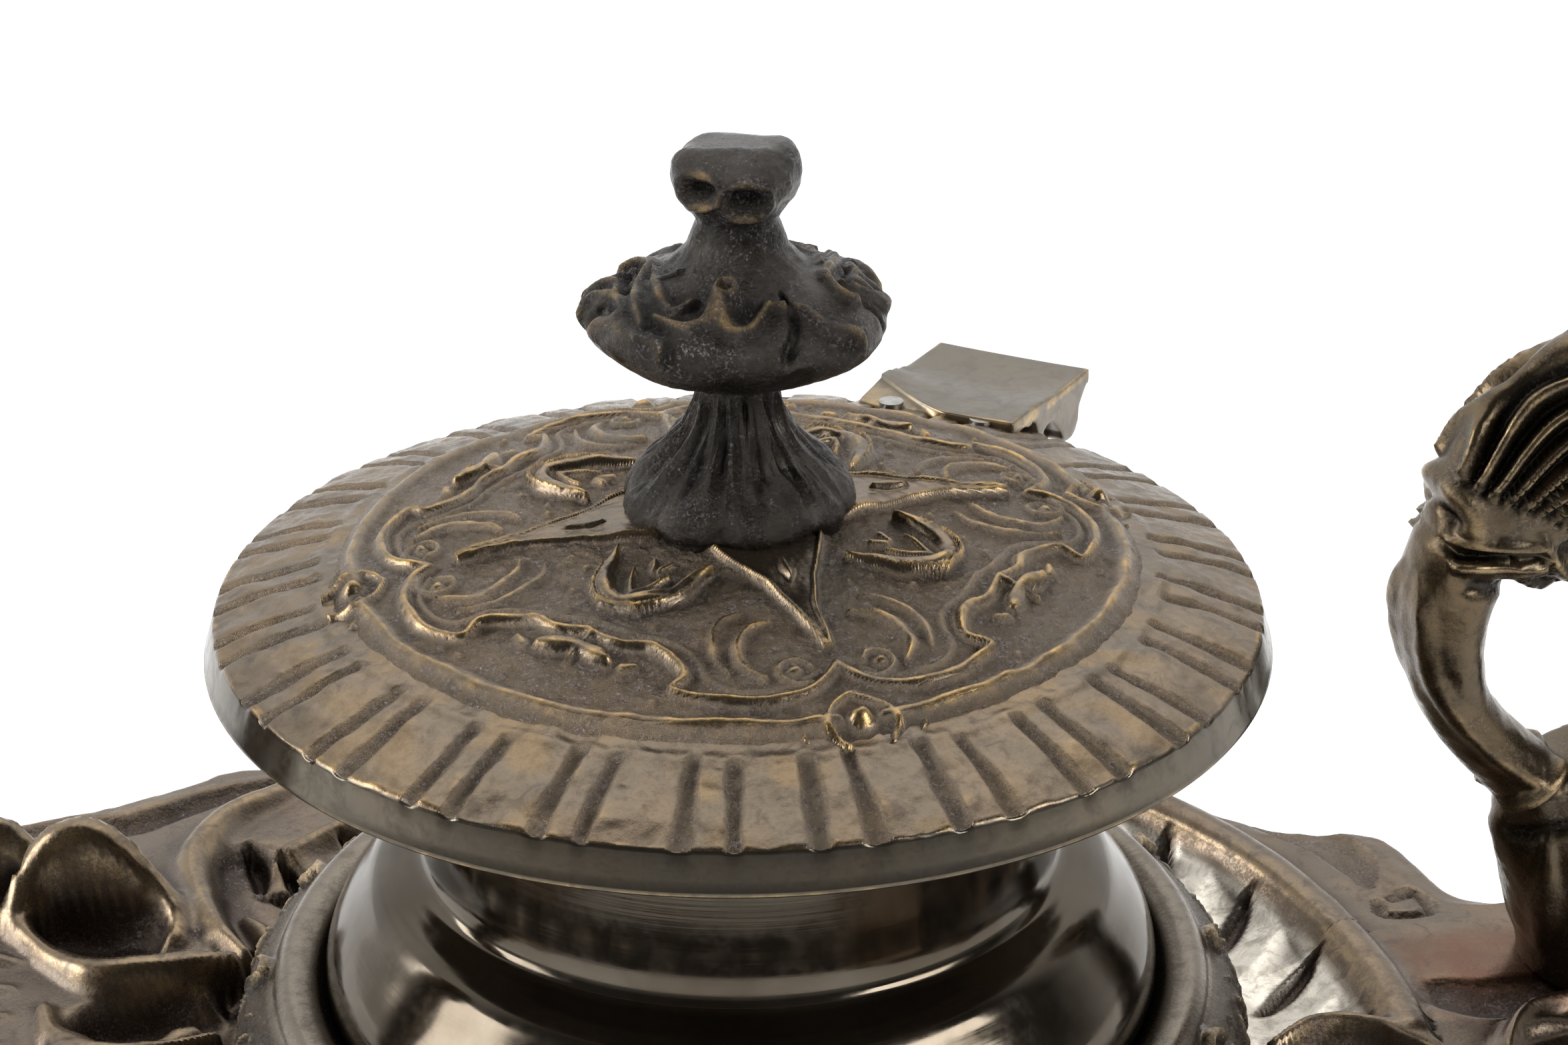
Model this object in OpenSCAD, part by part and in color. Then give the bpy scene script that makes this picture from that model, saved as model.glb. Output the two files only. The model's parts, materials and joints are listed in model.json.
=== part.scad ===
// Bronze inkwell on a tray with two scroll handles.
// The tray lies along X with a handle at each end. The pot stands on the origin's axis, +Z up,
// and the feet stand on z = 0.

/* [Tray] */
// Length of the tray over its two end plates
tray_length = 148; // [144:1:152]
// Height of the tray's flat top above the table
tray_top = 10.5; // [10:0.1:11]
// Height of the underside of the tray's rim
tray_under = 4.5; // [4:0.1:5]
// Radius of the raised bead round the dish
bead_radius = 46.2; // [45.5:0.1:46.6]
// Radius of the round section of that bead
bead_section = 1.6; // [1.3:0.1:1.8]
// Height of the dish floor that the pot stands on
dish_floor = 7.5; // [7.3:0.1:7.8]
// Distance of each foot from the tray's long axis
foot_y = 17; // [15.5:0.5:18]
// Distance of each foot from the tray's cross axis
foot_x = 47; // [45.5:0.5:48]

/* [Handles] */
// Height of a handle's crest above the table
handle_top = 60; // [58:0.5:62]
// Thickness of a handle's arm
handle_depth = 9; // [8:0.5:10]

/* [Pot] */
// Largest radius of the leaf cup
cup_radius = 34; // [33.5:0.1:34.5]
// Radius of the polished belly at the groove above the leaf cup
belly_radius = 27.8; // [27.5:0.1:28.2]
// Height of that groove
groove_z = 19.2; // [18.8:0.1:19.4]
// Smallest outer radius of the neck
neck_radius = 20.6; // [20.4:0.1:21]
// Wall of the pot
pot_wall = 1.8; // [1.6:0.1:1.9]

/* [Ink liner] */
// Outer radius of the loose liner
liner_radius = 17.6; // [17:0.1:17.8]
// Wall of the liner
liner_wall = 2; // [1.6:0.1:2.4]

/* [Lid] */
// Radius of the lid at the top edge of its side wall
lid_radius = 33; // [32.5:0.1:33.1]
// Height of that edge above the table
lid_rim_z = 46; // [45.9:0.1:46.3]
// Rise of the lid's middle above its edge
lid_rise = 5.2; // [4.6:0.1:5.6]
// Height of the finial above its seat on the lid
finial_height = 23.8; // [22:0.1:25]
// Radius of the leafy disc on the finial
finial_radius = 9.4; // [9:0.1:10]

/* [Hinge] */
// Turn of the pot on its bolt: the hinge's angle from the tray's back, towards +X
hinge_turn = 39; // [0:1:45]
// Distance of the hinge pin from the pot's axis
pin_reach = 40; // [39.6:0.1:40.4]
// Depth of the pin below the lid's top edge
pin_drop = 1.8; // [1.7:0.1:2]
// Radius of the pin
pin_radius = 0.8; // [0.7:0.05:0.9]
// Width of the leaf over its two cheeks
leaf_width = 12.4; // [12:0.1:13]

/* [Hidden] */
$fn = 96;

// Gap between faces that slide or lift apart, and the running gap round the pin
gap = 0.3;
running_gap = 0.05;
// Length of a cut that has to pass right through a part
through = 100;

// Colours
bronze = [0.36, 0.29, 0.21];
polished_bronze = [0.27, 0.24, 0.2];
dark_bronze = [0.2, 0.18, 0.15];
steel = [0.6, 0.6, 0.62];
china = [0.9, 0.9, 0.87];

// Tray: one half of the outline, from the right end plate round the back to the left one;
// the other half is the same turned half a turn about the pot's axis
end_x = tray_length / 2;
end_half = 8;
end_rounding = 1.4;
outline_half = [
    [end_x, 0],
    [end_x - end_rounding, end_half],
    [66, 8.2],
    [60, 8.2],
    [56.8, 10.6],
    [55.6, 17],
    [53.6, 20],
    [45.9, 23],
    [35.4, 33.2],
    [24, 42.4],
    [8, 47.8],
    [-14, 48.2],
    [-33, 47],
    [-44, 43.4],
    [-53, 41],
    [-60, 34],
    [-61.5, 22],
    [-61, 13],
    [-65, 9],
    [end_rounding - end_x, end_half]
];
outline_points = concat(outline_half, [for (p = outline_half) -p]);
outline_steps = 5;
tray_wall = 3;
dish_radius = 44.6;
underside_skin = 3;
foot_pad = 7;
end_pad_x = 55.5;
end_pad_length = 20;
end_pad_width = 40;
hollow_scale = 0.93;

// Feet and the screws that hold them
foot_radius = 5.6;
screw_radius = 1.25;
screw_head_radius = 2.4;
screw_head = 1.6;
screw_bite = 3.4;
foot_head_z = 1;

// Handles: outline in the XZ plane, and the finger loop through it
handle_seat_x = 63.5;
handle_foot_x = 64.1;
handle_foot_radius = 7;
handle_foot_height = 19.5;
handle_screw_spread = 3.5;
loop_low_x = 51;
loop_high_x = 61.5;
loop_low_z = 29.3;
loop_high_z = 38.2;
crest_start_z = 40;
crest_scale = (handle_top - crest_start_z) / 20;

// Scrolls cast on the tray
scroll_x = -45;
scroll_y = 17;
scroll_radius = 5.5;
scroll_top = 18.5;
scroll_base = 3;
scroll_ridge = 2;
scroll_eye_radius = 3.5;

// Pot
bolt_radius = 2;
bolt_head_radius = 4.2;
bolt_head = 1.8;
cup_floor = 2.4;
body_floor_z = dish_floor + cup_floor;
body_floor = 2.2;
body_rim_z = 42.9;
lip_radius = 22.4;
low_radius = belly_radius - 0.7;
washer_radius = 6;
washer_height = 0.8;
nut_height = 2.6;
nut_radius = 3.9;

// Liner
liner_flange = 1.1;
liner_flange_radius = 21.2;
liner_floor_z = 16;

// Lid
lid_wall = 2.6;
lid_flare = 0.76;
lid_low_z = lid_rim_z - lid_wall;
lid_inside_z = lid_low_z + 0.9;
lid_skirt = 1.8;
ring_outer = liner_radius - liner_wall - 0.5;
ring_wall = 1.3;
ring_low_z = body_rim_z - 1.2;
seat_z = lid_rim_z + lid_rise;
lid_skin = 2.4;

// Finial screw
finial_bolt_radius = 1.5;
finial_bolt_bite = 6;
finial_screw_head = 1.5;
finial_screw_head_radius = 3.4;

// Hinge
pin_z = lid_rim_z - pin_drop;
knuckle_radius = 1.5;
eye_radius = 1.7;
leaf_front = 29;
leaf_back = 43.5;
cheek = 1.7;
knuckle_width = leaf_width - 2 * cheek - 2 * gap;
leaf_skin = 1.2;
leaf_top_front = lid_rim_z + 1.8;
leaf_top_back = lid_rim_z + 1.1;
leaf_screw_radius = 0.9;
leaf_screw_spread = 3.6;
leaf_screw_reach = 29.4;
leaf_screw_bite = 0.5;
leaf_screw_head = 0.6;
leaf_screw_head_radius = 1.6;
bracket_strap = 1.8;
bracket_low_z = 34;
bracket_screw_radius = 0.75;
bracket_screw_start = neck_radius - 1.6;
bracket_screw_spread = 2.4;
bracket_inner = neck_radius + 0.35;

// A point on a smooth curve between b and c, with a and d the points beyond them; t runs from 0 to 1
function smooth_point(a, b, c, d, t) =
    0.5 * (2 * b + (c - a) * t + (2 * a - 5 * b + 4 * c - d) * t * t + (3 * b - a - 3 * c + d) * t * t * t);

function smooth_loop(points, steps) = [
    for (i = [0 : len(points) - 1], k = [0 : steps - 1])
        smooth_point(
            points[(i + len(points) - 1) % len(points)],
            points[i],
            points[(i + 1) % len(points)],
            points[(i + 2) % len(points)],
            k / steps
        )
];

function smooth_run(points, steps) = concat(
    [for (i = [0 : len(points) - 2], k = [0 : steps - 1])
        smooth_point(
            points[max(i - 1, 0)],
            points[i],
            points[i + 1],
            points[min(i + 2, len(points) - 1)],
            k / steps
        )],
    [points[len(points) - 1]]
);

module outline() {
    polygon(smooth_loop(outline_points, outline_steps));
}

module at_feet() {
    for (sx = [-1, 1], sy = [-1, 1]) {
        translate([sx * foot_x, sy * foot_y, 0]) children();
    }
}

module at_both_ends() {
    children();
    rotate([0, 0, 180]) children();
}

module at_handle_screws() {
    at_both_ends() {
        for (s = [-1, 1]) {
            translate([handle_seat_x + s * handle_screw_spread, 0, 0]) children();
        }
    }
}

// Everything on the pot that turns with the hinge's place
module toward_hinge() {
    rotate([0, 0, 90 - hinge_turn]) children();
}

module tray() {
    color(bronze) difference() {
        union() {
            translate([0, 0, tray_under]) linear_extrude(tray_top - tray_under) outline();
            rotate_extrude() translate([bead_radius, tray_top]) circle(r = bead_section);
            at_both_ends() tray_scroll();
        }
        tray_dish();
        tray_hollow();
        translate([0, 0, tray_under - 1]) cylinder(r = bolt_radius + gap, h = tray_top);
        at_feet() translate([0, 0, tray_under - 1]) cylinder(r = screw_radius, h = screw_bite + 2);
        at_handle_screws() translate([0, 0, tray_under - 1]) cylinder(r = screw_radius + gap / 2, h = tray_top);
        at_handle_screws() translate([0, 0, tray_under - 1]) cylinder(r = screw_head_radius + gap, h = screw_head + 1.6);
    }
}

// A cast scroll with an open eye
module tray_scroll() {
    translate([scroll_x, scroll_y, tray_top - 1]) {
        difference() {
            union() {
                cylinder(r1 = scroll_radius + 3, r2 = scroll_radius + 1, h = scroll_base);
                rotate_extrude() translate([scroll_radius - 1, scroll_base]) circle(r = scroll_ridge);
                translate([0, 0, 2]) cylinder(r = scroll_radius - 1, h = scroll_top - tray_top - scroll_base);
            }
            translate([0, 0, scroll_base + 1]) sphere(r = scroll_eye_radius);
            translate([0, 0, scroll_base + 1]) cylinder(r = scroll_eye_radius - 0.2, h = through);
        }
    }
}

module tray_dish() {
    floor_edge = cup_radius + 1;
    rotate_extrude() polygon(concat(
        [[0, dish_floor]],
        smooth_run([
            [floor_edge, dish_floor],
            [floor_edge + 5, dish_floor + 0.5],
            [dish_radius - 1.2, dish_floor + 1.9],
            [dish_radius, tray_top]
        ], 6),
        [[dish_radius, tray_top + 0.4], [0, tray_top + 0.4]]
    ));
}

// The casting is hollow under its flat border, with pads for the feet and end plates
module tray_hollow() {
    difference() {
        translate([0, 0, tray_under - 1]) {
            linear_extrude(tray_top - underside_skin - tray_under + 1) scale(hollow_scale) outline();
        }
        translate([0, 0, tray_under - 2]) cylinder(r = bead_radius + 2, h = tray_top);
        at_feet() translate([0, 0, tray_under - 2]) cylinder(r = foot_pad, h = tray_top);
        at_both_ends() translate([end_pad_x, -end_pad_width / 2, tray_under - 2]) {
            cube([end_pad_length, end_pad_width, tray_top]);
        }
    }
}

// A turned bun foot with its screw sunk from below
module foot(sx, sy) {
    translate([sx * foot_x, sy * foot_y, 0]) color(dark_bronze) difference() {
        rotate_extrude() polygon(concat(
            [[0, 0], [foot_radius - 1.6, 0]],
            smooth_run([
                [foot_radius - 1.2, 0.2],
                [foot_radius, 2],
                [foot_radius - 1, 3.4],
                [foot_radius - 1.6, tray_under]
            ], 5),
            [[0, tray_under]]
        ));
        translate([0, 0, -1]) cylinder(r = screw_radius + gap / 2, h = through);
        translate([0, 0, -1]) cylinder(r = screw_head_radius + gap, h = foot_head_z + screw_head + 1);
    }
}

module foot_front_left() {
    foot(-1, -1);
}

module foot_front_right() {
    foot(1, -1);
}

module foot_back_left() {
    foot(-1, 1);
}

module foot_back_right() {
    foot(1, 1);
}

// A cheese-head screw standing on its head, with a driver slot
module screw(shank_radius, head_radius, head, length) {
    slot = 0.6;
    difference() {
        union() {
            cylinder(r = head_radius, h = head);
            cylinder(r = shank_radius, h = head + length);
        }
        translate([-head_radius - 1, -slot / 2, -1]) cube([2 * head_radius + 2, slot, 1 + head / 3]);
    }
}

module foot_screws() {
    shank = tray_under - foot_head_z - screw_head + screw_bite - 0.5;
    color(steel) at_feet() translate([0, 0, foot_head_z]) {
        screw(screw_radius, screw_head_radius, screw_head, shank);
    }
}

// Scroll handle: a swelling foot, a waisted arm round the finger loop and a crest that curls down
// at its outer side
module handle() {
    left_edge = [
        [57.6, tray_top],
        [56.4, 15.5],
        [54.6, 21],
        [53.6, 24.4],
        [49.4, 30.4],
        [46.2, 35.6],
        [45.3, 40],
        [47.2, 48.4],
        [50.4, 53.6]
    ];
    crest = [
        [55.2, 57.2],
        [62, 60],
        [68, 58],
        [71.4, 52.5],
        [71, 47.2],
        [67.6, 43.6],
        [68, 38]
    ];
    right_edge = [
        [67.4, 31],
        [68.6, 24],
        [70.4, 17],
        [70.8, tray_top]
    ];
    scaled_crest = [for (p = crest) [p[0], crest_start_z + (p[1] - crest_start_z) * crest_scale]];
    profile = smooth_run(concat(left_edge, scaled_crest, right_edge), 4);
    difference() {
        union() {
            rotate([90, 0, 0]) {
                translate([0, 0, -handle_depth / 2]) linear_extrude(handle_depth) polygon(profile);
            }
            translate([handle_foot_x, 0, tray_top]) handle_foot();
        }
        finger_loop();
        for (s = [-1, 1]) {
            translate([handle_seat_x + s * handle_screw_spread, 0, tray_top - 1]) {
                cylinder(r = screw_radius, h = screw_bite + 2);
            }
        }
    }
}

module handle_foot() {
    rotate_extrude() polygon(concat(
        [[0, 0], [handle_foot_radius, 0]],
        smooth_run([
            [handle_foot_radius, 1],
            [handle_foot_radius - 1.5, 6],
            [handle_foot_radius - 1, 12],
            [handle_foot_radius - 2.5, 17],
            [1, handle_foot_height]
        ], 5),
        [[0, handle_foot_height]]
    ));
}

// The loop: a rounded four-sided way through, along Y
module finger_loop() {
    corners = [
        [loop_low_x, (loop_low_z + loop_high_z) / 2],
        [loop_low_x + 1.8, loop_high_z],
        [loop_high_x - 4, loop_high_z - 1.6],
        [loop_high_x, (loop_low_z + loop_high_z) / 2 - 0.8],
        [loop_high_x - 2, loop_low_z + 0.4],
        [loop_high_x - 5.5, loop_low_z],
        [loop_low_x + 1.4, loop_low_z + 2.4]
    ];
    rotate([90, 0, 0]) translate([0, 0, -handle_depth]) {
        linear_extrude(2 * handle_depth) polygon(smooth_loop(corners, 4));
    }
}

module handle_right() {
    color(bronze) handle();
}

module handle_left() {
    color(bronze) rotate([0, 0, 180]) handle();
}

module handle_screws() {
    shank = tray_top - tray_under - screw_head + screw_bite - 1;
    color(steel) at_handle_screws() translate([0, 0, tray_under + 0.6]) {
        screw(screw_radius, screw_head_radius, screw_head, shank);
    }
}

// Cast cup with a smooth bead at its mouth and a swelling leaf border below it
module leaf_cup() {
    inside = cup_radius - 5.2;
    color(dark_bronze) difference() {
        rotate_extrude() polygon(concat(
            [[bolt_radius + gap, dish_floor], [cup_radius - 8, dish_floor]],
            smooth_run([
                [cup_radius - 7, dish_floor + 0.4],
                [cup_radius - 2, dish_floor + 3],
                [cup_radius, dish_floor + 6.5],
                [cup_radius - 0.8, dish_floor + 9.4],
                [cup_radius - 2.6, groove_z - 0.6]
            ], 5),
            smooth_run([
                [cup_radius - 2.9, groove_z - 0.2],
                [cup_radius - 3.6, groove_z + 0.7],
                [cup_radius - 5, groove_z + 0.6],
                [belly_radius + 0.3, groove_z - 0.4]
            ], 4),
            [
                [belly_radius - 0.5, groove_z - 1.4],
                [belly_radius - 0.5, groove_z - 2.4],
                [inside - 3.2, body_floor_z + 2],
                [inside - 4.4, body_floor_z],
                [bolt_radius + gap, body_floor_z]
            ]
        ));
        translate([0, 0, dish_floor - 1]) cylinder(r = bolt_radius + gap, h = 10);
    }
}

// Outside of the pot's body, from its floor up to its lip
function pot_outside() = concat(
    smooth_run([
        [low_radius - 5, body_floor_z],
        [low_radius - 2.4, body_floor_z + 4],
        [low_radius, groove_z - 2.4]
    ], 3),
    smooth_run([
        [low_radius, groove_z - 1.2],
        [belly_radius, groove_z + 0.4],
        [belly_radius - 0.6, groove_z + 3],
        [belly_radius - 2.6, groove_z + 6],
        [belly_radius - 3.9, groove_z + 7.6],
        [neck_radius + 2.1, groove_z + 8.7],
        [neck_radius + 0.95, groove_z + 9.9],
        [neck_radius + 0.25, groove_z + 11.6],
        [neck_radius, groove_z + 14],
        [neck_radius, groove_z + 17.5],
        [neck_radius + 0.6, groove_z + 20.6],
        [lip_radius, body_rim_z - 0.8]
    ], 4)
);

// Turned and polished body: a waisted neck that sweeps out to the belly, hollow, with a floor
module pot_body() {
    mouth = liner_radius + gap;
    color(polished_bronze) difference() {
        rotate_extrude() polygon(concat(
            [[bolt_radius + gap / 2, body_floor_z]],
            pot_outside(),
            [
                [lip_radius, body_rim_z],
                [mouth, body_rim_z],
                [mouth, groove_z + 10],
                [low_radius - pot_wall - 1.6, groove_z + 1],
                [low_radius - pot_wall - 1.6, groove_z - 2.4],
                [low_radius - pot_wall - 5.4, body_floor_z + body_floor],
                [bolt_radius + gap / 2, body_floor_z + body_floor]
            ]
        ));
        at_bracket_screws() cylinder(r = bracket_screw_radius, h = through);
    }
}

module pot_bolt() {
    top = body_floor_z + body_floor + bolt_head;
    bottom = tray_under - washer_height - nut_height - 0.4;
    color(steel) difference() {
        union() {
            translate([0, 0, top - bolt_head]) cylinder(r = bolt_head_radius, h = bolt_head);
            translate([0, 0, bottom]) cylinder(r = bolt_radius, h = top - bottom - 0.1);
        }
        translate([-bolt_head_radius - 1, -0.5, top - 0.8]) cube([2 * bolt_head_radius + 2, 1, 2]);
    }
}

module pot_washer() {
    color(steel) translate([0, 0, tray_under - washer_height]) difference() {
        cylinder(r = washer_radius, h = washer_height);
        translate([0, 0, -1]) cylinder(r = bolt_radius + gap / 2, h = washer_height + 2);
    }
}

module pot_nut() {
    color(steel) translate([0, 0, tray_under - washer_height - nut_height]) difference() {
        cylinder(r = nut_radius, h = nut_height, $fn = 6);
        translate([0, 0, -1]) cylinder(r = bolt_radius, h = nut_height + 2);
    }
}

// Loose china liner, hung in the neck by its flange
module ink_liner() {
    inner = liner_radius - liner_wall;
    top = body_rim_z + liner_flange;
    color(china) rotate_extrude() polygon(concat(
        [[0, liner_floor_z], [liner_radius - 3, liner_floor_z]],
        smooth_run([
            [liner_radius - 1.6, liner_floor_z + 0.5],
            [liner_radius - 0.3, liner_floor_z + 2],
            [liner_radius, liner_floor_z + 4]
        ], 3),
        [
            [liner_radius, body_rim_z],
            [liner_flange_radius, body_rim_z],
            [liner_flange_radius, top],
            [inner, top],
            [inner, liner_floor_z + 5]
        ],
        smooth_run([
            [inner, liner_floor_z + 4],
            [inner - 1.4, liner_floor_z + liner_wall + 0.6],
            [inner - 4, liner_floor_z + liner_wall]
        ], 3),
        [[0, liner_floor_z + liner_wall]]
    ));
}

// Height of the lid's top face over a radius: a flat fluted border and a low dome inside it
function lid_top(radius) = lid_rim_z + lid_rise * (1 - pow(radius / lid_radius, 2));

// Domed lid with a flared side wall and a hollow underside
module lid_plate() {
    wall_top = lid_radius;
    wall_low = lid_radius + lid_flare;
    dome = [for (i = [0 : 10]) let (r = lid_radius * (1 - i / 10)) [max(r, finial_bolt_radius + gap / 2), lid_top(r)]];
    underside = [for (i = [0 : 6]) let (r = (lid_radius - lid_skirt) * i / 6) [
        max(r, finial_bolt_radius + gap / 2),
        max(lid_top(r) - lid_skin, lid_inside_z)
    ]];
    color(bronze) difference() {
        rotate_extrude() polygon(concat(
            dome,
            underside,
            [[wall_low - lid_skirt, lid_low_z], [wall_low, lid_low_z]]
        ));
        at_leaf_screws() cylinder(r = leaf_screw_radius, h = through);
        at_leaf_screws() translate([0, 0, -2]) {
            cylinder(r = leaf_screw_head_radius + gap, h = leaf_screw_head + 2);
        }
        translate([0, 0, lid_low_z]) {
            cylinder(r = finial_screw_head_radius + gap, h = seat_z - lid_skin - lid_low_z);
        }
    }
}

// Locating ring soldered under the lid; it drops into the liner's mouth
module lid_ring() {
    color(bronze) translate([0, 0, ring_low_z]) difference() {
        cylinder(r = ring_outer, h = ring_height());
        translate([0, 0, -1]) cylinder(r = ring_outer - ring_wall, h = ring_height() + 2);
    }
}

function ring_height() = lid_top(ring_outer) - lid_skin - ring_low_z - 0.25;

// Finial: a bell-shaped base, a narrow waist, a leafy disc, a neck and a flat-topped knob
module finial() {
    s = finial_height / 23.8;
    base = [
        [7.2, 0],
        [7.2, 1.6],
        [6.4, 2.8],
        [4.2, 4.6],
        [3, 6.2],
        [2.5, 7.6]
    ];
    disc = [
        [2.6, 8],
        [6.4, 8.7],
        [finial_radius - 1, 10.6],
        [finial_radius, 13],
        [finial_radius - 0.7, 15],
        [7, 16.9],
        [4.2, 17.9],
        [2.6, 19.2]
    ];
    knob = [
        [2.5, 19.8],
        [3.4, 20.6],
        [3.8, 21.8],
        [3.6, 23.2],
        [3, 23.8]
    ];
    shape = concat(smooth_run(base, 3), smooth_run(disc, 3), smooth_run(knob, 3));
    color(dark_bronze) translate([0, 0, seat_z]) difference() {
        rotate_extrude() polygon(concat([[0, 0]], [for (p = shape) [p[0], p[1] * s]], [[0, 23.8 * s]]));
        translate([0, 0, -1]) cylinder(r = finial_bolt_radius, h = finial_bolt_bite + 1.5);
    }
}

module finial_screw() {
    low = seat_z - lid_skin - finial_screw_head;
    slot = 0.8;
    color(steel) translate([0, 0, low]) difference() {
        union() {
            cylinder(r = finial_screw_head_radius, h = finial_screw_head);
            cylinder(r = finial_bolt_radius, h = finial_screw_head + lid_skin + finial_bolt_bite);
        }
        translate([-finial_screw_head_radius - 1, -slot / 2, -1]) {
            cube([2 * finial_screw_head_radius + 2, slot, 1.6]);
        }
    }
}

module at_leaf_screws() {
    toward_hinge() {
        for (s = [-1, 1]) {
            translate([leaf_screw_reach, s * leaf_screw_spread, leaf_screw_low_z]) children();
        }
    }
}

leaf_screw_seat_z = lid_inside_z + 0.4;
leaf_screw_low_z = leaf_screw_seat_z - leaf_screw_head;
leaf_screw_length = lid_top(leaf_screw_reach) + leaf_screw_bite - leaf_screw_low_z;

// Side view of the hinge leaf along the hinge's reach, from its foot on the lid to behind the pin
module leaf_side(skin_only) {
    top = smooth_run([
        [leaf_front, leaf_top_front],
        [leaf_front + 4, leaf_top_front - 0.1],
        [pin_reach - 2, leaf_top_back + 0.1],
        [leaf_back, leaf_top_back]
    ], 5);
    under = skin_only
        ? [for (i = [len(top) - 1 : -1 : 0]) [top[i][0], top[i][1] - leaf_skin]]
        : concat(
            [
                [leaf_back, leaf_top_back - leaf_skin],
                [pin_reach + eye_radius + 0.4, pin_z - 0.4],
                [pin_reach + 1, pin_z - eye_radius],
                [pin_reach - 1, pin_z - eye_radius],
                [pin_reach - eye_radius - 0.9, pin_z - 0.6],
                [pin_reach - eye_radius - 1.9, pin_z + 0.9],
                [pin_reach - eye_radius - 3.1, pin_z + 0.9],
                [lid_radius + 1.3, pin_z + 0.2],
                [lid_radius + 1.3, lid_rim_z + 0.05]
            ],
            [for (i = [0 : 4]) let (r = lid_radius - i * (lid_radius - leaf_front) / 4) [r, lid_top(r) + 0.02]]
        );
    polygon(concat(top, under));
}

module pin_bore(radius) {
    translate([pin_reach, through / 2, pin_z]) rotate([90, 0, 0]) cylinder(r = radius, h = through);
}

module upright(width) {
    rotate([90, 0, 0]) translate([0, 0, -width / 2]) linear_extrude(width) children();
}

// Leaf: a flat cover plate with two cheeks that carry the pin and a thin foot on the lid
module hinge_leaf() {
    foot_end = lid_radius - 0.4;
    color(bronze) difference() {
        toward_hinge() difference() {
            upright(leaf_width) leaf_side(false);
            upright(leaf_width - 2 * cheek) difference() {
                translate([foot_end, pin_z - 2 * eye_radius]) square([leaf_back, through]);
                leaf_side(true);
                translate([foot_end, leaf_top_back - 1]) square([leaf_back, through]);
            }
            pin_bore(pin_radius + running_gap);
        }
        at_leaf_screws() cylinder(r = leaf_screw_radius, h = leaf_screw_length);
    }
}

// Two small screws from under the lid into the leaf's foot
module leaf_screws() {
    color(steel) at_leaf_screws() {
        cylinder(r = leaf_screw_radius, h = leaf_screw_length);
        cylinder(r = leaf_screw_head_radius, h = leaf_screw_head);
    }
}

module hinge_pin() {
    color(steel) toward_hinge() translate([pin_reach, leaf_width / 2 - gap, pin_z]) {
        rotate([90, 0, 0]) cylinder(r = pin_radius, h = leaf_width - 2 * gap);
    }
}

// Bracket: a knuckle between the cheeks, on a strap that turns under the lid and down the pot's neck
module hinge_bracket() {
    shelf_z = lid_low_z - 1;
    side = [
        [bracket_inner - 1, bracket_low_z],
        [bracket_inner + bracket_strap, bracket_low_z],
        [bracket_inner + bracket_strap, shelf_z - bracket_strap],
        [pin_reach - 1, shelf_z - bracket_strap],
        [pin_reach + 0.6, shelf_z - 0.2],
        [pin_reach + 0.9, pin_z],
        [pin_reach - 1.3, pin_z],
        [pin_reach - 1.9, shelf_z + 0.4],
        [pin_reach - 2.4, shelf_z],
        [bracket_inner - 1, shelf_z]
    ];
    color(dark_bronze) difference() {
        toward_hinge() difference() {
            union() {
                upright(knuckle_width) polygon(side);
                upright(knuckle_width) translate([pin_reach, pin_z]) circle(r = knuckle_radius);
            }
            pin_bore(pin_radius);
        }
        rotate_extrude() polygon(concat([[0, body_floor_z]], pot_outside(), [[lip_radius, lid_low_z], [0, lid_low_z]]));
        at_bracket_screws() cylinder(r = bracket_screw_radius, h = through);
    }
}

module at_bracket_screws() {
    toward_hinge() {
        for (s = [-1, 1]) {
            translate([bracket_screw_start, s * bracket_screw_spread, bracket_low_z + 2.6]) {
                rotate([0, 90, 0]) children();
            }
        }
    }
}

module bracket_screws() {
    grip = bracket_inner + bracket_strap - bracket_screw_start;
    color(steel) at_bracket_screws() {
        cylinder(r = bracket_screw_radius, h = grip);
        translate([0, 0, grip]) cylinder(r = bracket_screw_radius + 0.5, h = 0.8);
    }
}

tray();
foot_front_left();
foot_front_right();
foot_back_left();
foot_back_right();
foot_screws();
handle_left();
handle_right();
handle_screws();
leaf_cup();
pot_body();
pot_bolt();
pot_washer();
pot_nut();
ink_liner();
lid_plate();
lid_ring();
finial();
finial_screw();
hinge_leaf();
leaf_screws();
hinge_pin();
hinge_bracket();
bracket_screws();
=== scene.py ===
import json
import math

import bpy
import numpy as np
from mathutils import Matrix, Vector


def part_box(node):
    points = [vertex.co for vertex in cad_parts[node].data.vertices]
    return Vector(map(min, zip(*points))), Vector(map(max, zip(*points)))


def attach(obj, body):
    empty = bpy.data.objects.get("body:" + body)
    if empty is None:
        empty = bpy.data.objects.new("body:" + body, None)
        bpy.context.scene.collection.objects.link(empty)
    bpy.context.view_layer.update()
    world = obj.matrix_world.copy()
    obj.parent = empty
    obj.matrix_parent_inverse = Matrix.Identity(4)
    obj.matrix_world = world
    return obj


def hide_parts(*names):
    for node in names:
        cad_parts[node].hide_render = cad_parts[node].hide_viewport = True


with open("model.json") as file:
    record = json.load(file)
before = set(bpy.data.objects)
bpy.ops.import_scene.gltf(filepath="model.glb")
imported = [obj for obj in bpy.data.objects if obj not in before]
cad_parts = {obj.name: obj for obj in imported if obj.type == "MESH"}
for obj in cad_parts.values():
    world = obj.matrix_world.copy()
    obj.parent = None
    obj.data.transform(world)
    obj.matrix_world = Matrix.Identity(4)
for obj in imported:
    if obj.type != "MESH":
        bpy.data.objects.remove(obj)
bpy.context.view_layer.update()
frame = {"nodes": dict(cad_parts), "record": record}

# Lengths in this script are millimetres, and angles are degrees, unless a name says otherwise.
MM = 0.001
TURN = 360.0


# ---------------------------------------------------------------- sizes read from the frame

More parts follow.
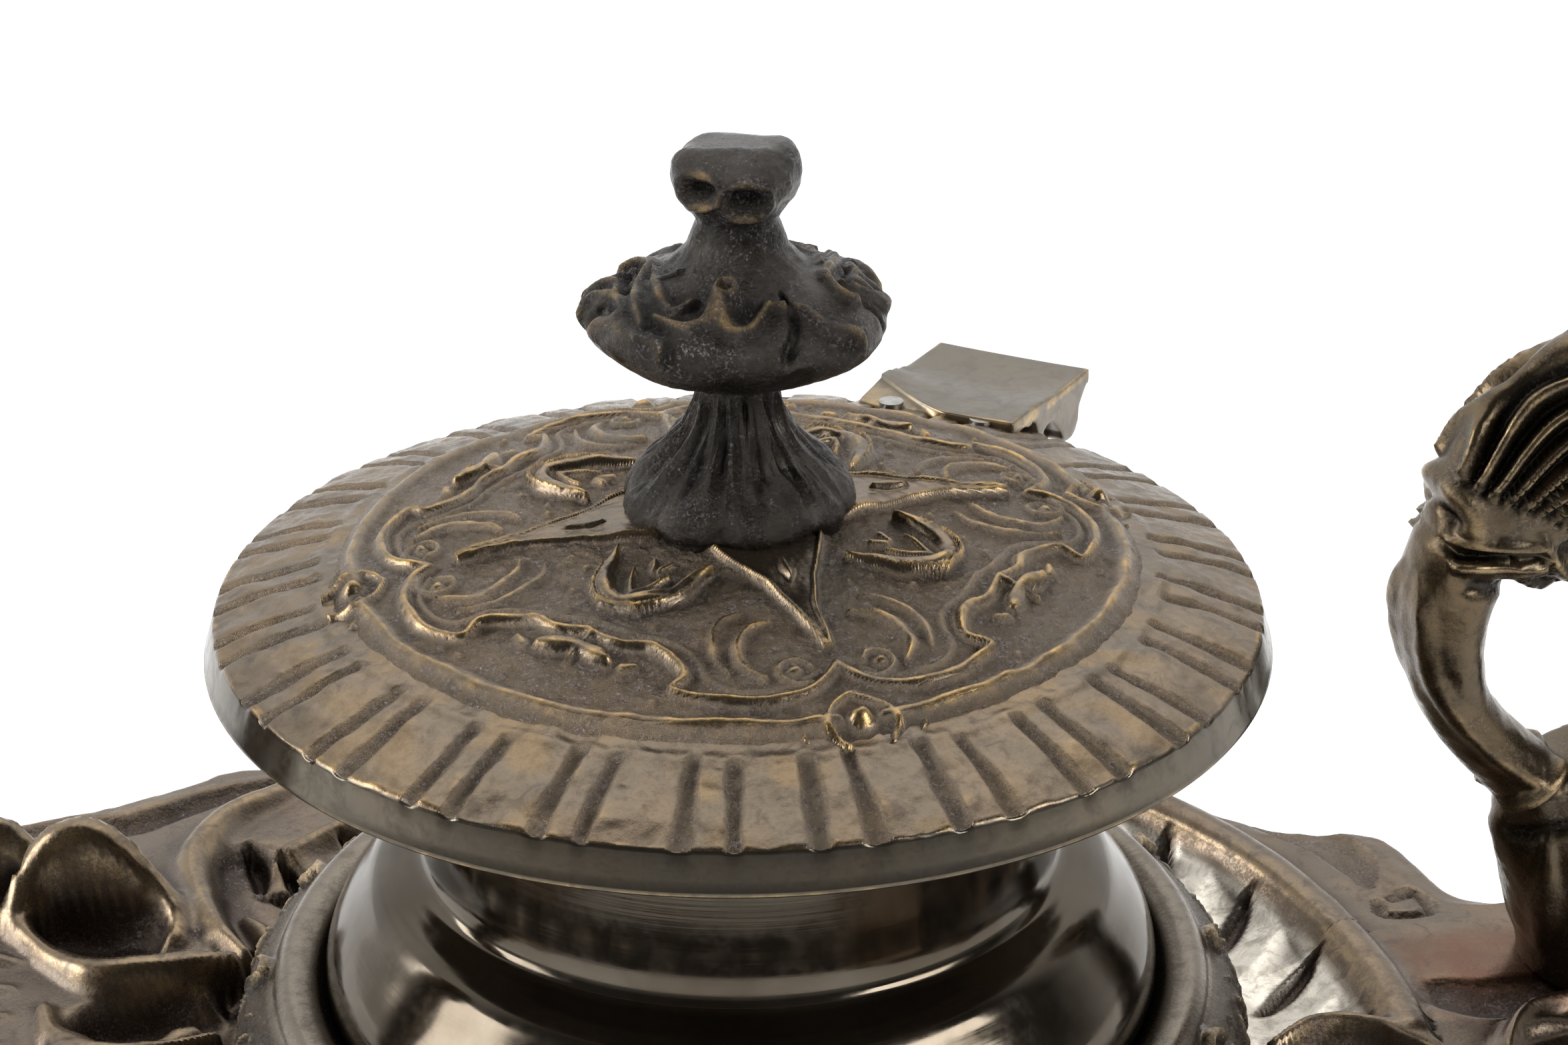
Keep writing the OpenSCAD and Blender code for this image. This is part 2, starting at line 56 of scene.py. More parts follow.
def node_box(*names):
    """Lowest and highest corner of some CAD nodes together, in millimetres."""
    lows, highs = zip(*(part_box(name) for name in names))
    return np.min(lows, axis=0) / MM, np.max(highs, axis=0) / MM


def radius_of(name):
    """Largest radius of a node that is round about the pot's axis."""
    low, high = node_box(name)
    return (high[0] - low[0]) / 2


joints = {j["name"]: j for j in frame["record"]["behaviour"]["joints"]}
PIN = np.array(joints["lid_hinge"]["pos_m"]) / MM
PIN_REACH = math.hypot(PIN[0], PIN[1])
# Compass bearing of the hinge, clockwise from +Y seen from above
HINGE_BEARING = math.degrees(math.atan2(PIN[0], PIN[1]))

LID_FLARE = 0.76
LID_OUT = radius_of("lid_plate")
LID_R = LID_OUT - LID_FLARE
LID_WALL = 2.6
LID_RIM_Z = node_box("lid_plate")[0][2] + LID_WALL
SEAT_Z = node_box("finial")[0][2]
LID_RISE = SEAT_Z - LID_RIM_Z
CUP_LOW, CUP_HIGH = node_box("leaf_cup")
CUP_R = radius_of("leaf_cup")
GROOVE_Z = CUP_HIGH[2] - 0.8
POT_LOW, POT_HIGH = node_box("pot_body")
BELLY_R = radius_of("pot_body")
DISH_FLOOR = CUP_LOW[2]
TRAY_UNDER = node_box("tray")[0][2]
TRAY_TOP = node_box("handle_right")[0][2]
BEAD_R = 46.2
BEAD_HALF = 1.75
# Bearing of the middle of each stretch of bead
BEAD_MIDDLE = 41


# ---------------------------------------------------------------- curves and noise

def smooth_curve(points, steps=8, closed=False):
    """Catmull-Rom curve through rows of numbers; any number of columns."""
    p = np.array(points, float)
    n = len(p)
    if closed:
        before, after, beyond = np.roll(p, 1, 0), np.roll(p, -1, 0), np.roll(p, -2, 0)
        start = p
    else:
        start, after = p[:-1], p[1:]
        before = np.vstack([p[:1], p[:-2]]) if n > 2 else p[:1]
        beyond = np.vstack([p[2:], p[-1:]]) if n > 2 else p[-1:]
    t = (np.arange(steps) / steps)[None, :, None]
    a, b, c, d = before[:, None], start[:, None], after[:, None], beyond[:, None]
    square, cube = 2 * a - 5 * b + 4 * c - d, 3 * b - a - 3 * c + d
    curve = 0.5 * (2 * b + (c - a) * t + square * t**2 + cube * t**3)
    curve = curve.reshape(-1, p.shape[1])
    return curve if closed else np.vstack([curve, p[-1:]])


def even_steps(curve, spacing, closed=False):
    """The same curve with points a set distance apart, measured over its first two columns."""
    c = np.vstack([curve, curve[:1]]) if closed else np.asarray(curve)
    length = np.concatenate([[0], np.cumsum(np.linalg.norm(np.diff(c[:, :2], axis=0), axis=1))])
    count = max(2, int(round(length[-1] / spacing)) + 1)
    at = np.linspace(0, length[-1], count)
    out = np.stack([np.interp(at, length, c[:, k]) for k in range(c.shape[1])], 1)
    return out[:-1] if closed else out


def lattice(ix, iy, iz, seed):
    """A repeatable random number from 0 to 1 for each lattice point."""
    h = (ix * 374761393 + iy * 668265263 + iz * 2147483647 + seed * 1274126177) & 0xFFFFFFFF
    h = ((h ^ (h >> 13)) * 1274126177) & 0xFFFFFFFF
    return ((h ^ (h >> 16)) & 0xFFFF) / 65535.0


def noise(p, size, seed=0):
    """Smooth noise from -1 to 1; size is the distance between its lattice points."""
    q = np.asarray(p) / size
    i = np.floor(q).astype(np.int64)
    f = q - i
    f = f * f * (3 - 2 * f)
    total = 0
    for dx in (0, 1):
        for dy in (0, 1):
            for dz in (0, 1):
                w = (f[..., 0] if dx else 1 - f[..., 0])
                w = w * (f[..., 1] if dy else 1 - f[..., 1])
                w = w * (f[..., 2] if dz else 1 - f[..., 2])
                total = total + w * lattice(i[..., 0] + dx, i[..., 1] + dy, i[..., 2] + dz, seed)
    return 2 * total - 1


def rough_noise(p, size, octaves=3, seed=0):
    total, gain = 0, 1.0
    for k in range(octaves):
        total = total + gain * noise(p, size / 2**k, seed + k)
        gain /= 2
    return total


def ramp(x, low, high):
    t = np.clip((x - low) / (high - low), 0, 1)
    return t * t * (3 - 2 * t)


# ---------------------------------------------------------------- relief strokes

RIDGE_STEP = 0.12
DRAWN_STEP = 0.35
FAR = 9.0


def touched(x, y, curve, width):
    """Index of the points of a height field near a curve whose last column is a factor on its width."""
    reach = width * curve[:, -1].max()
    low, high = curve[:, :2].min(0) - reach, curve[:, :2].max(0) + reach
    return np.nonzero((x >= low[0]) & (x <= high[0]) & (y >= low[1]) & (y <= high[1]))


def rounded(away, flat):
    """Height from 1 on a curve to 0 at its edge, for squared distances in half widths."""
    t = np.clip((np.sqrt(away) - flat) / (1 - flat), 0, 1)
    return (1 - t * t) ** 2


def stroke(field, x, y, points, width, height, flat=0.0):
    """Raises a ridge along a curve on a height field.

    points are rows of x, y and, where the ridge swells, a factor on its width. flat is the part of
    the half width that is level on top.
    """
    rows = np.array([(p[0], p[1], p[2] if len(p) > 2 else 1.0) for p in points], float)
    curve = even_steps(smooth_curve(rows, 10), RIDGE_STEP)
    near = touched(x, y, curve, width)
    if near[0].size == 0:
        return
    px, py = x[near], y[near]
    best = np.full(px.shape, FAR)
    for cx, cy, swell in curve:
        np.minimum(best, ((px - cx) ** 2 + (py - cy) ** 2) / max(width * swell, 1e-3) ** 2, out=best)
    field[near] = np.maximum(field[near], height * rounded(best, flat))


def at_bearing(points):
    """(bearing, radius, ...) rows turned into (x, y, ...) rows, with bearing 0 along +y."""
    return [
        (p[1] * math.sin(math.radians(p[0])), p[1] * math.cos(math.radians(p[0])), *p[2:])
        for p in points
    ]


def blurred(h, cells):
    """A height field softened by a box filter run three times; the first axis wraps."""
    out = h.copy()
    for _ in range(3):
        total = np.zeros_like(out)
        for k in range(-cells, cells + 1):
            total += np.roll(out, k, 0)
        out = total / (2 * cells + 1)
        padded = np.pad(out, ((0, 0), (cells, cells)), mode="edge")
        total = np.zeros_like(out)
        for k in range(2 * cells + 1):
            total += padded[:, k:k + out.shape[1]]
        out = total / (2 * cells + 1)
    return out


def edge_marks(h, cells, gain):
    """wear is high on ridges and cavity is high in recesses, both 0 to 1."""
    delta = h - blurred(h, cells)
    return np.clip(delta * gain, 0, 1), np.clip(-delta * gain, 0, 1)


# ---------------------------------------------------------------- mesh building

def outward_normals(p, row):
    """Unit normals of a turned grid of points; row is one that faces away from the axis."""
    n = np.cross(np.roll(p, -1, 0) - np.roll(p, 1, 0), np.gradient(p, axis=1))
    n /= np.maximum(np.linalg.norm(n, axis=2, keepdims=True), 1e-9)
    return n * np.sign(n[0, row, 0])


def new_piece(name, points, faces, marks=None):
    """A smooth-shaded object from points in millimetres, with one number per point for each mark."""
    mesh = bpy.data.meshes.new(name)
    mesh.from_pydata((np.asarray(points) * MM).tolist(), [], faces)
    for key, values in (marks or {}).items():
        data = np.asarray(values, np.float32)
        mesh.attributes.new(key, "FLOAT", "POINT").data.foreach_set("value", data)
    mesh.polygons.foreach_set("use_smooth", [True] * len(mesh.polygons))
    mesh.update()
    piece = bpy.data.objects.new(name, mesh)
    bpy.context.scene.collection.objects.link(piece)
    return piece


def woven(ring):
    """Quads between the neighbouring rows and columns of a grid of point numbers."""
    return np.stack([ring[:-1, :-1], ring[1:, :-1], ring[1:, 1:], ring[:-1, 1:]], -1).reshape(-1, 4)


def grid_piece(name, p, marks=None, loop=False, caps=False):
    """A mesh from a grid of points in millimetres: u runs round and closes, v along.

    With loop, v closes too. With caps, both ends of v are closed with a fan.
    """
    nu, nv = p.shape[:2]
    index = np.arange(nu * nv).reshape(nu, nv)
    ring = np.vstack([index, index[:1]])
    if loop:
        ring = np.hstack([ring, ring[:, :1]])
    quads = woven(ring)
    points = p.reshape(-1, 3)
    outward = np.cross(points[quads[:, 2]] - points[quads[:, 0]], points[quads[:, 3]] - points[quads[:, 1]])
    turned = np.sum(outward * (points[quads].mean(1) - points.mean(0))) < 0
    faces = (quads[:, ::-1] if turned else quads).tolist()
    if caps:
        for column in (0, nv - 1):
            points = np.vstack([points, p[:, column].mean(0)])
            rim = index[:, column]
            fan = np.stack([rim, np.roll(rim, -1), np.full(nu, len(points) - 1)], 1)
            if (column == 0) != turned:
                fan = fan[:, ::-1]
            faces += fan.tolist()
    padded = {}
    for key, values in (marks or {}).items():
        flat = np.asarray(values, float).ravel()
        padded[key] = np.concatenate([flat, np.zeros(len(points) - flat.size)])
    return new_piece(name, points, faces, padded)


def lathe_points(profile, count):
    """Points of a turned shape: profile rows are (radius, z); u runs anticlockwise."""
    angle = np.radians(np.arange(count) * TURN / count)[:, None]
    r, z = profile[:, 0][None], profile[:, 1][None]
    return np.stack([r * np.cos(angle), r * np.sin(angle), np.broadcast_to(z, (count, len(profile)))], 2)


def bearing_of(p):
    """Compass bearing of grid points, clockwise from +Y."""
    return np.degrees(np.arctan2(p[..., 0], p[..., 1]))


def finish_piece(piece, body, material, replaces=()):
    piece.data.materials.append(material)
    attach(piece, body)
    if replaces:
        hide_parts(*replaces)
    return piece


def give(node, material):
    """A new material for a CAD node that keeps its own shape."""
    mesh = frame["nodes"][node].data
    mesh.materials.clear()
    mesh.materials.append(material)


# ---------------------------------------------------------------- materials

class Nodes:
    """Short names for building a shader."""

    def __init__(self, name):
        self.material = bpy.data.materials.new(name)
        self.material.use_nodes = True
        self.tree = self.material.node_tree
        self.shader = self.tree.nodes["Principled BSDF"]
        self.coords = self.add("ShaderNodeTexCoord").outputs["Object"]

    def add(self, kind, **values):
        node = self.tree.nodes.new(kind)
        for key, value in values.items():
            if hasattr(node, key) and key not in node.inputs:
                setattr(node, key, value)
            else:
                self.put(node.inputs[key], value)
        return node

    def put(self, socket, value):
        if isinstance(value, bpy.types.NodeSocket):
            self.tree.links.new(value, socket)
        else:
            socket.default_value = value

    def noise(self, size, detail=4.0, roughness=0.6, distortion=0.0, stretch=None):
        """Noise with features about size millimetres across."""
        coords = self.coords
        if stretch:
            coords = self.add("ShaderNodeMapping", Vector=coords, Scale=stretch).outputs[0]
        return self.add(
            "ShaderNodeTexNoise",
            Vector=coords,
            Scale=1 / (size * MM),
            Detail=detail,
            Roughness=roughness,
            Distortion=distortion,
        ).outputs["Fac"]

    def mark(self, name):
        return self.add("ShaderNodeAttribute", attribute_name=name).outputs["Fac"]

    def span(self, value, low, high, to_low=0.0, to_high=1.0):
        node = self.add("ShaderNodeMapRange", interpolation_type="SMOOTHSTEP")
        for key, item in (("Value", value), ("From Min", low), ("From Max", high), ("To Min", to_low),
                          ("To Max", to_high)):
            self.put(node.inputs[key], item)
        return node.outputs["Result"]

    def maths(self, operation, a, b=0.0):
        node = self.add("ShaderNodeMath", operation=operation)
        self.put(node.inputs[0], a)
        self.put(node.inputs[1], b)
        return node.outputs[0]

    def mix(self, amount, a, b):
        node = self.add("ShaderNodeMix", data_type="RGBA")
        self.put(node.inputs[0], amount)
        for socket, colour in ((node.inputs[6], a), (node.inputs[7], b)):
            self.put(socket, colour if isinstance(colour, bpy.types.NodeSocket) else (*colour, 1.0))
        return node.outputs[2]

    def bump(self, height, depth):
        """depth is the height of the pattern in millimetres."""
        return self.add("ShaderNodeBump", Height=height, Distance=depth * MM, Strength=1.0).outputs[0]


def bronze(name, brown, olive, gold, shade, rough, grain=0.05, wear=1.0, glint=0.5, sink=0.75,
           warm=None, polish_and_highlight=None):
    """Patinated bronze: rubbed ridges, painted shade in the recesses and painted cool glints on the rough
    ground.

    brown and olive are the patina, gold the rubbed metal and shade the colour of the painted shade in the
    hollows.
    grain is the height of the pits in millimetres; warm and polish are colours of the places with those
    marks, polish a pale one that on the tray's dish is a painted highlight.
    """
    n = Nodes(name)
    ridges, hollows, ground = n.mark("wear"), n.mark("cavity"), n.mark("ground")
    cloud = n.noise(7.0, 5.0, 0.62, 0.4)
    patches = n.noise(1.6, 6.0, 0.7, 0.6)
    fine = n.noise(0.22, 5.0, 0.65)
    colour = n.mix(n.span(cloud, 0.36, 0.64), brown, olive)
    colour = n.mix(n.span(patches, 0.45, 0.75, 0.0, 0.55), colour, shade)
    if warm:
        colour = n.mix(n.maths("MULTIPLY", n.mark("warm"), n.span(cloud, 0.3, 0.6, 0.4, 0.9)), colour, warm)
    # painted highlight: the pale colour on the polish mark stands in for a lamp's reflection on the tray's
    # dish; on the cup it makes the bead paler
    if polish_and_highlight:
        colour = n.mix(n.maths("MULTIPLY", n.mark("polish_and_highlight"), n.span(patches, 0.4, 0.7, 1.0, 0.4)),
                       colour, polish_and_highlight)
    # painted shade: the hollows (cavity mark) are filled with the shade colour, standing in for the shade
    # that falls in them
    colour = n.mix(n.maths("MULTIPLY", n.span(hollows, 0.05, 0.9), sink), colour, shade)
    rubbed = n.maths("MULTIPLY", n.span(ridges, 0.3, 0.95), n.span(patches, 0.34, 0.62, 1.0, 0.25))
    colour = n.mix(n.maths("MULTIPLY", rubbed, wear), colour, gold)
    # painted glints: pale lilac speckles on the rough ground stand in for reflections of the white backdrop
    glint_speckle = n.maths("MULTIPLY", n.span(fine, 0.5, 0.66), n.span(patches, 0.42, 0.6))
    painted_glint = n.maths("MULTIPLY", n.maths("MULTIPLY", glint_speckle, ground), glint)
    colour = n.mix(painted_glint, colour, (0.36, 0.315, 0.325))
    n.put(n.shader.inputs["Base Color"], colour)
    spread = 1.0 if grain > 0.03 else 0.25
    gloss = n.span(fine, 0.3, 0.7, rough - 0.07 * spread, rough + 0.1 * spread)
    gloss = n.maths("ADD", gloss, n.maths("MULTIPLY", n.span(patches, 0.35, 0.65, -0.5, 0.5), 0.1))
    gloss = n.maths("SUBTRACT", gloss, n.maths("MULTIPLY", painted_glint, 0.16))
    n.put(n.shader.inputs["Roughness"], gloss)
    n.shader.inputs["Metallic"].default_value = 0.9
    pits = n.noise(0.5, 6.0, 0.72)
    height = n.maths("MULTIPLY", pits, n.maths("ADD", n.maths("MULTIPLY", ground, 2.2), 0.25))
    n.put(n.shader.inputs["Normal"], n.bump(height, grain))
    return n.material


GOLD = (0.5, 0.325, 0.13)
# SHADE colours the painted shade in hollows as well as the darker patches of patina
SHADE = (0.05, 0.04, 0.034)

lid_bronze = bronze("lid_bronze", (0.2, 0.15, 0.102), (0.165, 0.132, 0.096), GOLD, SHADE, 0.23,
                    grain=0.12, wear=0.9, glint=0.8, sink=0.6, warm=(0.25, 0.17, 0.09))
finial_bronze = bronze("finial_bronze", (0.056, 0.048, 0.04), (0.042, 0.038, 0.033), (0.4, 0.27, 0.12),
                       (0.013, 0.012, 0.01), 0.2, grain=0.17, wear=0.55, glint=0.6)
cup_bronze = bronze("cup_bronze", (0.14, 0.112, 0.08), (0.12, 0.1, 0.078), (0.55, 0.42, 0.26),
                    (0.032, 0.026, 0.02), 0.24, grain=0.1, sink=0.85, polish_and_highlight=(0.2, 0.17, 0.135))
tray_bronze = bronze("tray_bronze", (0.18, 0.135, 0.096), (0.155, 0.125, 0.096), (0.3, 0.215, 0.12),
                     (0.05, 0.036, 0.03), 0.27, grain=0.05, wear=0.7, glint=0.6, sink=0.8,
                     warm=(0.15, 0.075, 0.045), polish_and_highlight=(0.7, 0.65, 0.56))
handle_bronze = bronze("handle_bronze", (0.125, 0.09, 0.052), (0.1, 0.077, 0.05), (0.42, 0.3, 0.16),
                       (0.02, 0.017, 0.013), 0.22, grain=0.05, wear=0.75, sink=0.9)
leaf_bronze = bronze("leaf_bronze", (0.19, 0.16, 0.12), (0.17, 0.148, 0.116), (0.5, 0.34, 0.15),
                     (0.12, 0.1, 0.08), 0.33, grain=0.012, glint=0.1)
wall_bronze = bronze("wall_bronze", (0.12, 0.1, 0.073), (0.104, 0.09, 0.07), (0.5, 0.34, 0.15), SHADE,
                     0.2, grain=0.01, glint=0.1)
dark_bronze = bronze("dark_bronze", (0.1, 0.08, 0.055), (0.085, 0.07, 0.053), (0.36, 0.25, 0.12),
                     (0.03, 0.025, 0.02), 0.3, grain=0.04)


def polished_bronze_material():
    """Dark mirror polish with hair-fine turning lines and smudges."""
    n = Nodes("polished_bronze")
    cloud = n.noise(9.0, 4.0, 0.55, 0.5)
    lines = n.noise(0.35, 3.0, 0.6, stretch=(0.02, 0.02, 1.0))
    colour = n.mix(n.span(cloud, 0.35, 0.65), (0.082, 0.067, 0.049), (0.112, 0.095, 0.073))
    colour = n.mix(n.span(lines, 0.55, 0.8, 0.0, 0.35), colour, (0.045, 0.036, 0.028))
    n.put(n.shader.inputs["Base Color"], colour)
    n.shader.inputs["Metallic"].default_value = 0.95
    smudge = n.noise(3.0, 5.0, 0.7)
    n.put(n.shader.inputs["Roughness"], n.span(smudge, 0.35, 0.75, 0.1, 0.22))
    n.put(n.shader.inputs["Normal"], n.bump(lines, 0.004))
    return n.material


def steel_material():
    n = Nodes("steel")
    patch = n.noise(0.8, 5.0, 0.6)
    colour = n.mix(n.span(patch, 0.35, 0.7), (0.5, 0.49, 0.47), (0.32, 0.3, 0.27))
    n.put(n.shader.inputs["Base Color"], colour)
    n.shader.inputs["Metallic"].default_value = 1.0
    n.put(n.shader.inputs["Roughness"], n.span(patch, 0.3, 0.7, 0.25, 0.45))
    n.put(n.shader.inputs["Normal"], n.bump(n.noise(0.15, 3.0), 0.01))
    return n.material


def china_material():
    n = Nodes("china")
    stain = n.noise(4.0, 5.0, 0.6)
    low = n.span(n.add("ShaderNodeSeparateXYZ", Vector=n.coords).outputs["Z"], 0.017, 0.03, 1.0, 0.0)
    ink = n.maths("MULTIPLY", n.span(stain, 0.4, 0.6), low)
    colour = n.mix(n.span(stain, 0.3, 0.7), (0.8, 0.79, 0.75), (0.74, 0.72, 0.66))
    n.put(n.shader.inputs["Base Color"], n.mix(n.maths("MULTIPLY", ink, 0.6), colour, (0.05, 0.06, 0.14)))
    n.put(n.shader.inputs["Roughness"], n.span(stain, 0.3, 0.7, 0.1, 0.2))
    n.shader.inputs["Coat Weight"].default_value = 0.5
    n.put(n.shader.inputs["Normal"], n.bump(n.noise(2.0, 2.0), 0.02))
    return n.material


polished_bronze = polished_bronze_material()
steel = steel_material()
china = china_material()


# ---------------------------------------------------------------- lid

PATTERN = 90.0
FLUTE_GROUPS = 26


def lid_dome(r):
    return LID_RIM_Z + LID_RISE * (1 - (r / LID_R) ** 2)


def medallion_relief(fold, r):
    """Strapwork on one eighth of the medallion: fold is the angle from the nearest boss."""
    x, y = r * np.sin(np.radians(fold)), r * np.cos(np.radians(fold))
    h = np.zeros_like(r)

    def line(points, width, height, flat=0.0):
        stroke(h, x, y, at_bearing(points), width, height, flat)

    # double scroll that frames the middle, from the V under the boss to the bow between bosses
    frame_line = [
        (-1, 19.2, 0.8), (2.5, 20.9), (7, 22.0), (13, 22.6, 1.1), (20, 22.4), (26, 21.7, 0.75),
        (24.6, 20.3, 0.9), (27.5, 19.0, 1.1), (32.5, 18.1, 1.2), (38, 18.3), (45, 17.8, 0.9),
    ]
    line(frame_line, 0.62, 0.62)
    line([(3, 19.9, 0.5), (9, 21.3), (16, 21.5), (21, 20.6), (23.2, 18.9), (28, 17.4), (36, 16.9),
          (46, 16.4)], 0.34, 0.26)
    # volute beside the V, with its pellet
    line([(3.0, 20.6, 0.8), (6.5, 21.1), (9.6, 20.3), (9.2, 19.2), (6.4, 18.9), (4.6, 19.6)], 0.36, 0.42)
    line([(7.2, 19.9), (7.6, 20.0)], 0.62, 0.55)
    # two feathers inside the scroll
    line([(11.5, 20.6, 0.4), (15.4, 19.2, 1.2), (16.2, 17.4, 1.3), (13.6, 15.7, 0.9), (8.8, 14.9, 0.3)],
         0.55, 0.42)
    line([(17.5, 20.3, 0.3), (20.6, 18.4), (21.6, 16.4, 1.2), (19.4, 14.6), (14.6, 13.7, 0.3)], 0.42, 0.36)
    # bow between two scrolls
    line([(38.5, 20.0, 0.7), (41.6, 19.6, 1.2), (45, 19.3, 0.8)], 0.8, 0.75, 0.2)
    line([(33.5, 19.9, 0.8), (35.4, 20.2)], 0.6, 0.5)
    line([(45, 20.6, 0.5), (45, 18.0, 1.1)], 0.55, 0.6)
    # ray from the finial towards the boss
    half = np.interp(r, [6.0, 8.5, 11.0, 14.0, 18.2], [3.7, 2.7, 1.45, 0.62, 0.12])
    inside = np.abs(x) / half
    within = (r < 18.3) & (inside < 1.25)
    h = np.where(within, np.maximum(h, 0.5 * ramp(1.25 - inside, 0, 0.3)), h)
    rim = np.exp(-(((np.abs(x) - half) / 0.26) ** 2)) * 0.72 * (r < 18.2)
    h = np.maximum(h, rim)
    line([(0, 11.2, 0.2), (0, 10.0, 0.9), (0, 8.9, 0.5)], 1.15, 0.85)
    # leaf between the rays: two lobes that meet on the axis
    line([(25.5, 9.8, 0.25), (30, 11.3, 0.8), (34.5, 13.0, 1.15), (40, 14.1, 1.05), (45.5, 14.5, 0.75)],
         0.95, 0.8, 0.15)
    line([(29, 11.6, 0.6), (34, 13.7), (39.5, 14.9), (45, 15.1, 0.6)], 0.28, 0.98)
    line([(38.2, 11.0, 0.4), (41.5, 12.2, 1.0), (45, 13.4, 1.1)], 0.5, 0.55)
    line([(41, 9.6), (43.8, 10.4)], 0.5, 0.45)
    # small pellets strewn on the ground
    pellets = [(30, 14.4, 0.34), (24.0, 12.2, 0.3), (34.5, 16.0, 0.3), (16.5, 12.1, 0.34),
               (28.5, 22.9, 0.3)]
    for b, rr, size in pellets:
        line([(b, rr), (b + 0.4, rr)], size, 0.3)
    return h


def boss_relief(fold, r):
    x, y = r * np.sin(np.radians(fold)), r * np.cos(np.radians(fold))
    h = np.zeros_like(r)
    eye = [(0, 27.6, 0.8), (1.25, 26.4), (2.1, 24.9, 1.2), (1.5, 23.4), (0, 22.5, 0.9)]
    stroke(h, x, y, eye, 0.42, 0.55)
    stroke(h, x, y, [(0, 24.6), (0.05, 24.6)], 1.15, 0.95)
    stroke(h, x, y, [(0.9, 27.1, 0.7), (2.6, 26.2, 0.9), (3.6, 25.0, 0.5)], 0.4, 0.4)
    return h


def flute_profile(bearing, r):
    """Depth of the radial grooves of the border: two narrow rough grooves between broad panels."""
    group = TURN / FLUTE_GROUPS
    sway = 0.6 * noise(np.stack([bearing * 0.2, r * 0.12, bearing * 0], -1), 1.0, 5)
    across = (bearing + sway) % group
    spread, half = 2.45, 1.3
    centre = group / 2
    near = np.minimum(np.abs(across - centre - spread), np.abs(across - centre + spread))
    width = half * (1 + 0.3 * noise(np.stack([bearing * 0.5, r * 0.5, r * 0], -1), 1.0, 6))
    return ramp(1 - near / width, 0.0, 0.75)


def build_medallion():
    steps, count = 128, 760
    r = np.concatenate([[5.2, 5.9], np.linspace(6.5, 26.4, steps)])
    bearing = np.arange(count) * TURN / count
    rr, bb = np.meshgrid(r, bearing)
    flat = np.stack([rr * np.sin(np.radians(bb)), rr * np.cos(np.radians(bb)), rr * 0], -1)
    wobble = 0.16 * noise(flat, 2.4, 11)
    wobble_b = np.degrees(0.16 * noise(flat, 2.4, 12) / rr)
    turned = bb + wobble_b - HINGE_BEARING - PATTERN / 2
    fold = np.abs((turned + PATTERN / 2) % PATTERN - PATTERN / 2)
    h = medallion_relief(fold, rr + wobble)
    ring = np.exp(-(((rr - 24.35 + wobble * 0.9) / 0.5) ** 2)) * 0.46 * ramp(fold * rr, 45, 75)
    h = np.maximum(h, ring)
    h = np.maximum(h, boss_relief(fold, rr + wobble))
    ground = np.clip(1 - h / 0.35, 0, 1)
    dents = 0.09 * rough_noise(flat, 1.3, 3, 21) + 0.05 * rough_noise(flat, 0.45, 2, 31)
    h = h * (1 + 0.28 * noise(flat, 1.9, 41)) + dents * (0.45 + 0.55 * ground) + 0.1 * noise(flat, 4.5, 43)
    edge = ramp(rr, 24.9, 26.2)
    boss = ramp(1 - fold * rr / 130, 0, 0.4) * ramp(27.8 - rr, 0, 1)
    z = lid_dome(rr) + 0.25 + h - (0.95 - 0.5 * boss) * edge
    wear, cavity = edge_marks(z - lid_dome(rr), 3, 2.9)
    p = np.stack([flat[..., 0], flat[..., 1], z], -1)
    # painted shadow: besides the shade in the relief's hollows, the outer slope where the medallion drops
    # to the border is darkened
    marks = {"wear": wear, "cavity": np.clip(cavity + 0.2 * edge, 0, 1), "ground": ground}
    under = p[:, ::-1][:, [0, -1]] - np.array([0, 0, 1.2])
    p = np.concatenate([p, under], 1)
    marks = {key: np.pad(values, ((0, 0), (0, 2))) for key, values in marks.items()}
    piece = grid_piece("lid_medallion", p, marks, loop=True)
    return finish_piece(piece, "lid", lid_bronze)


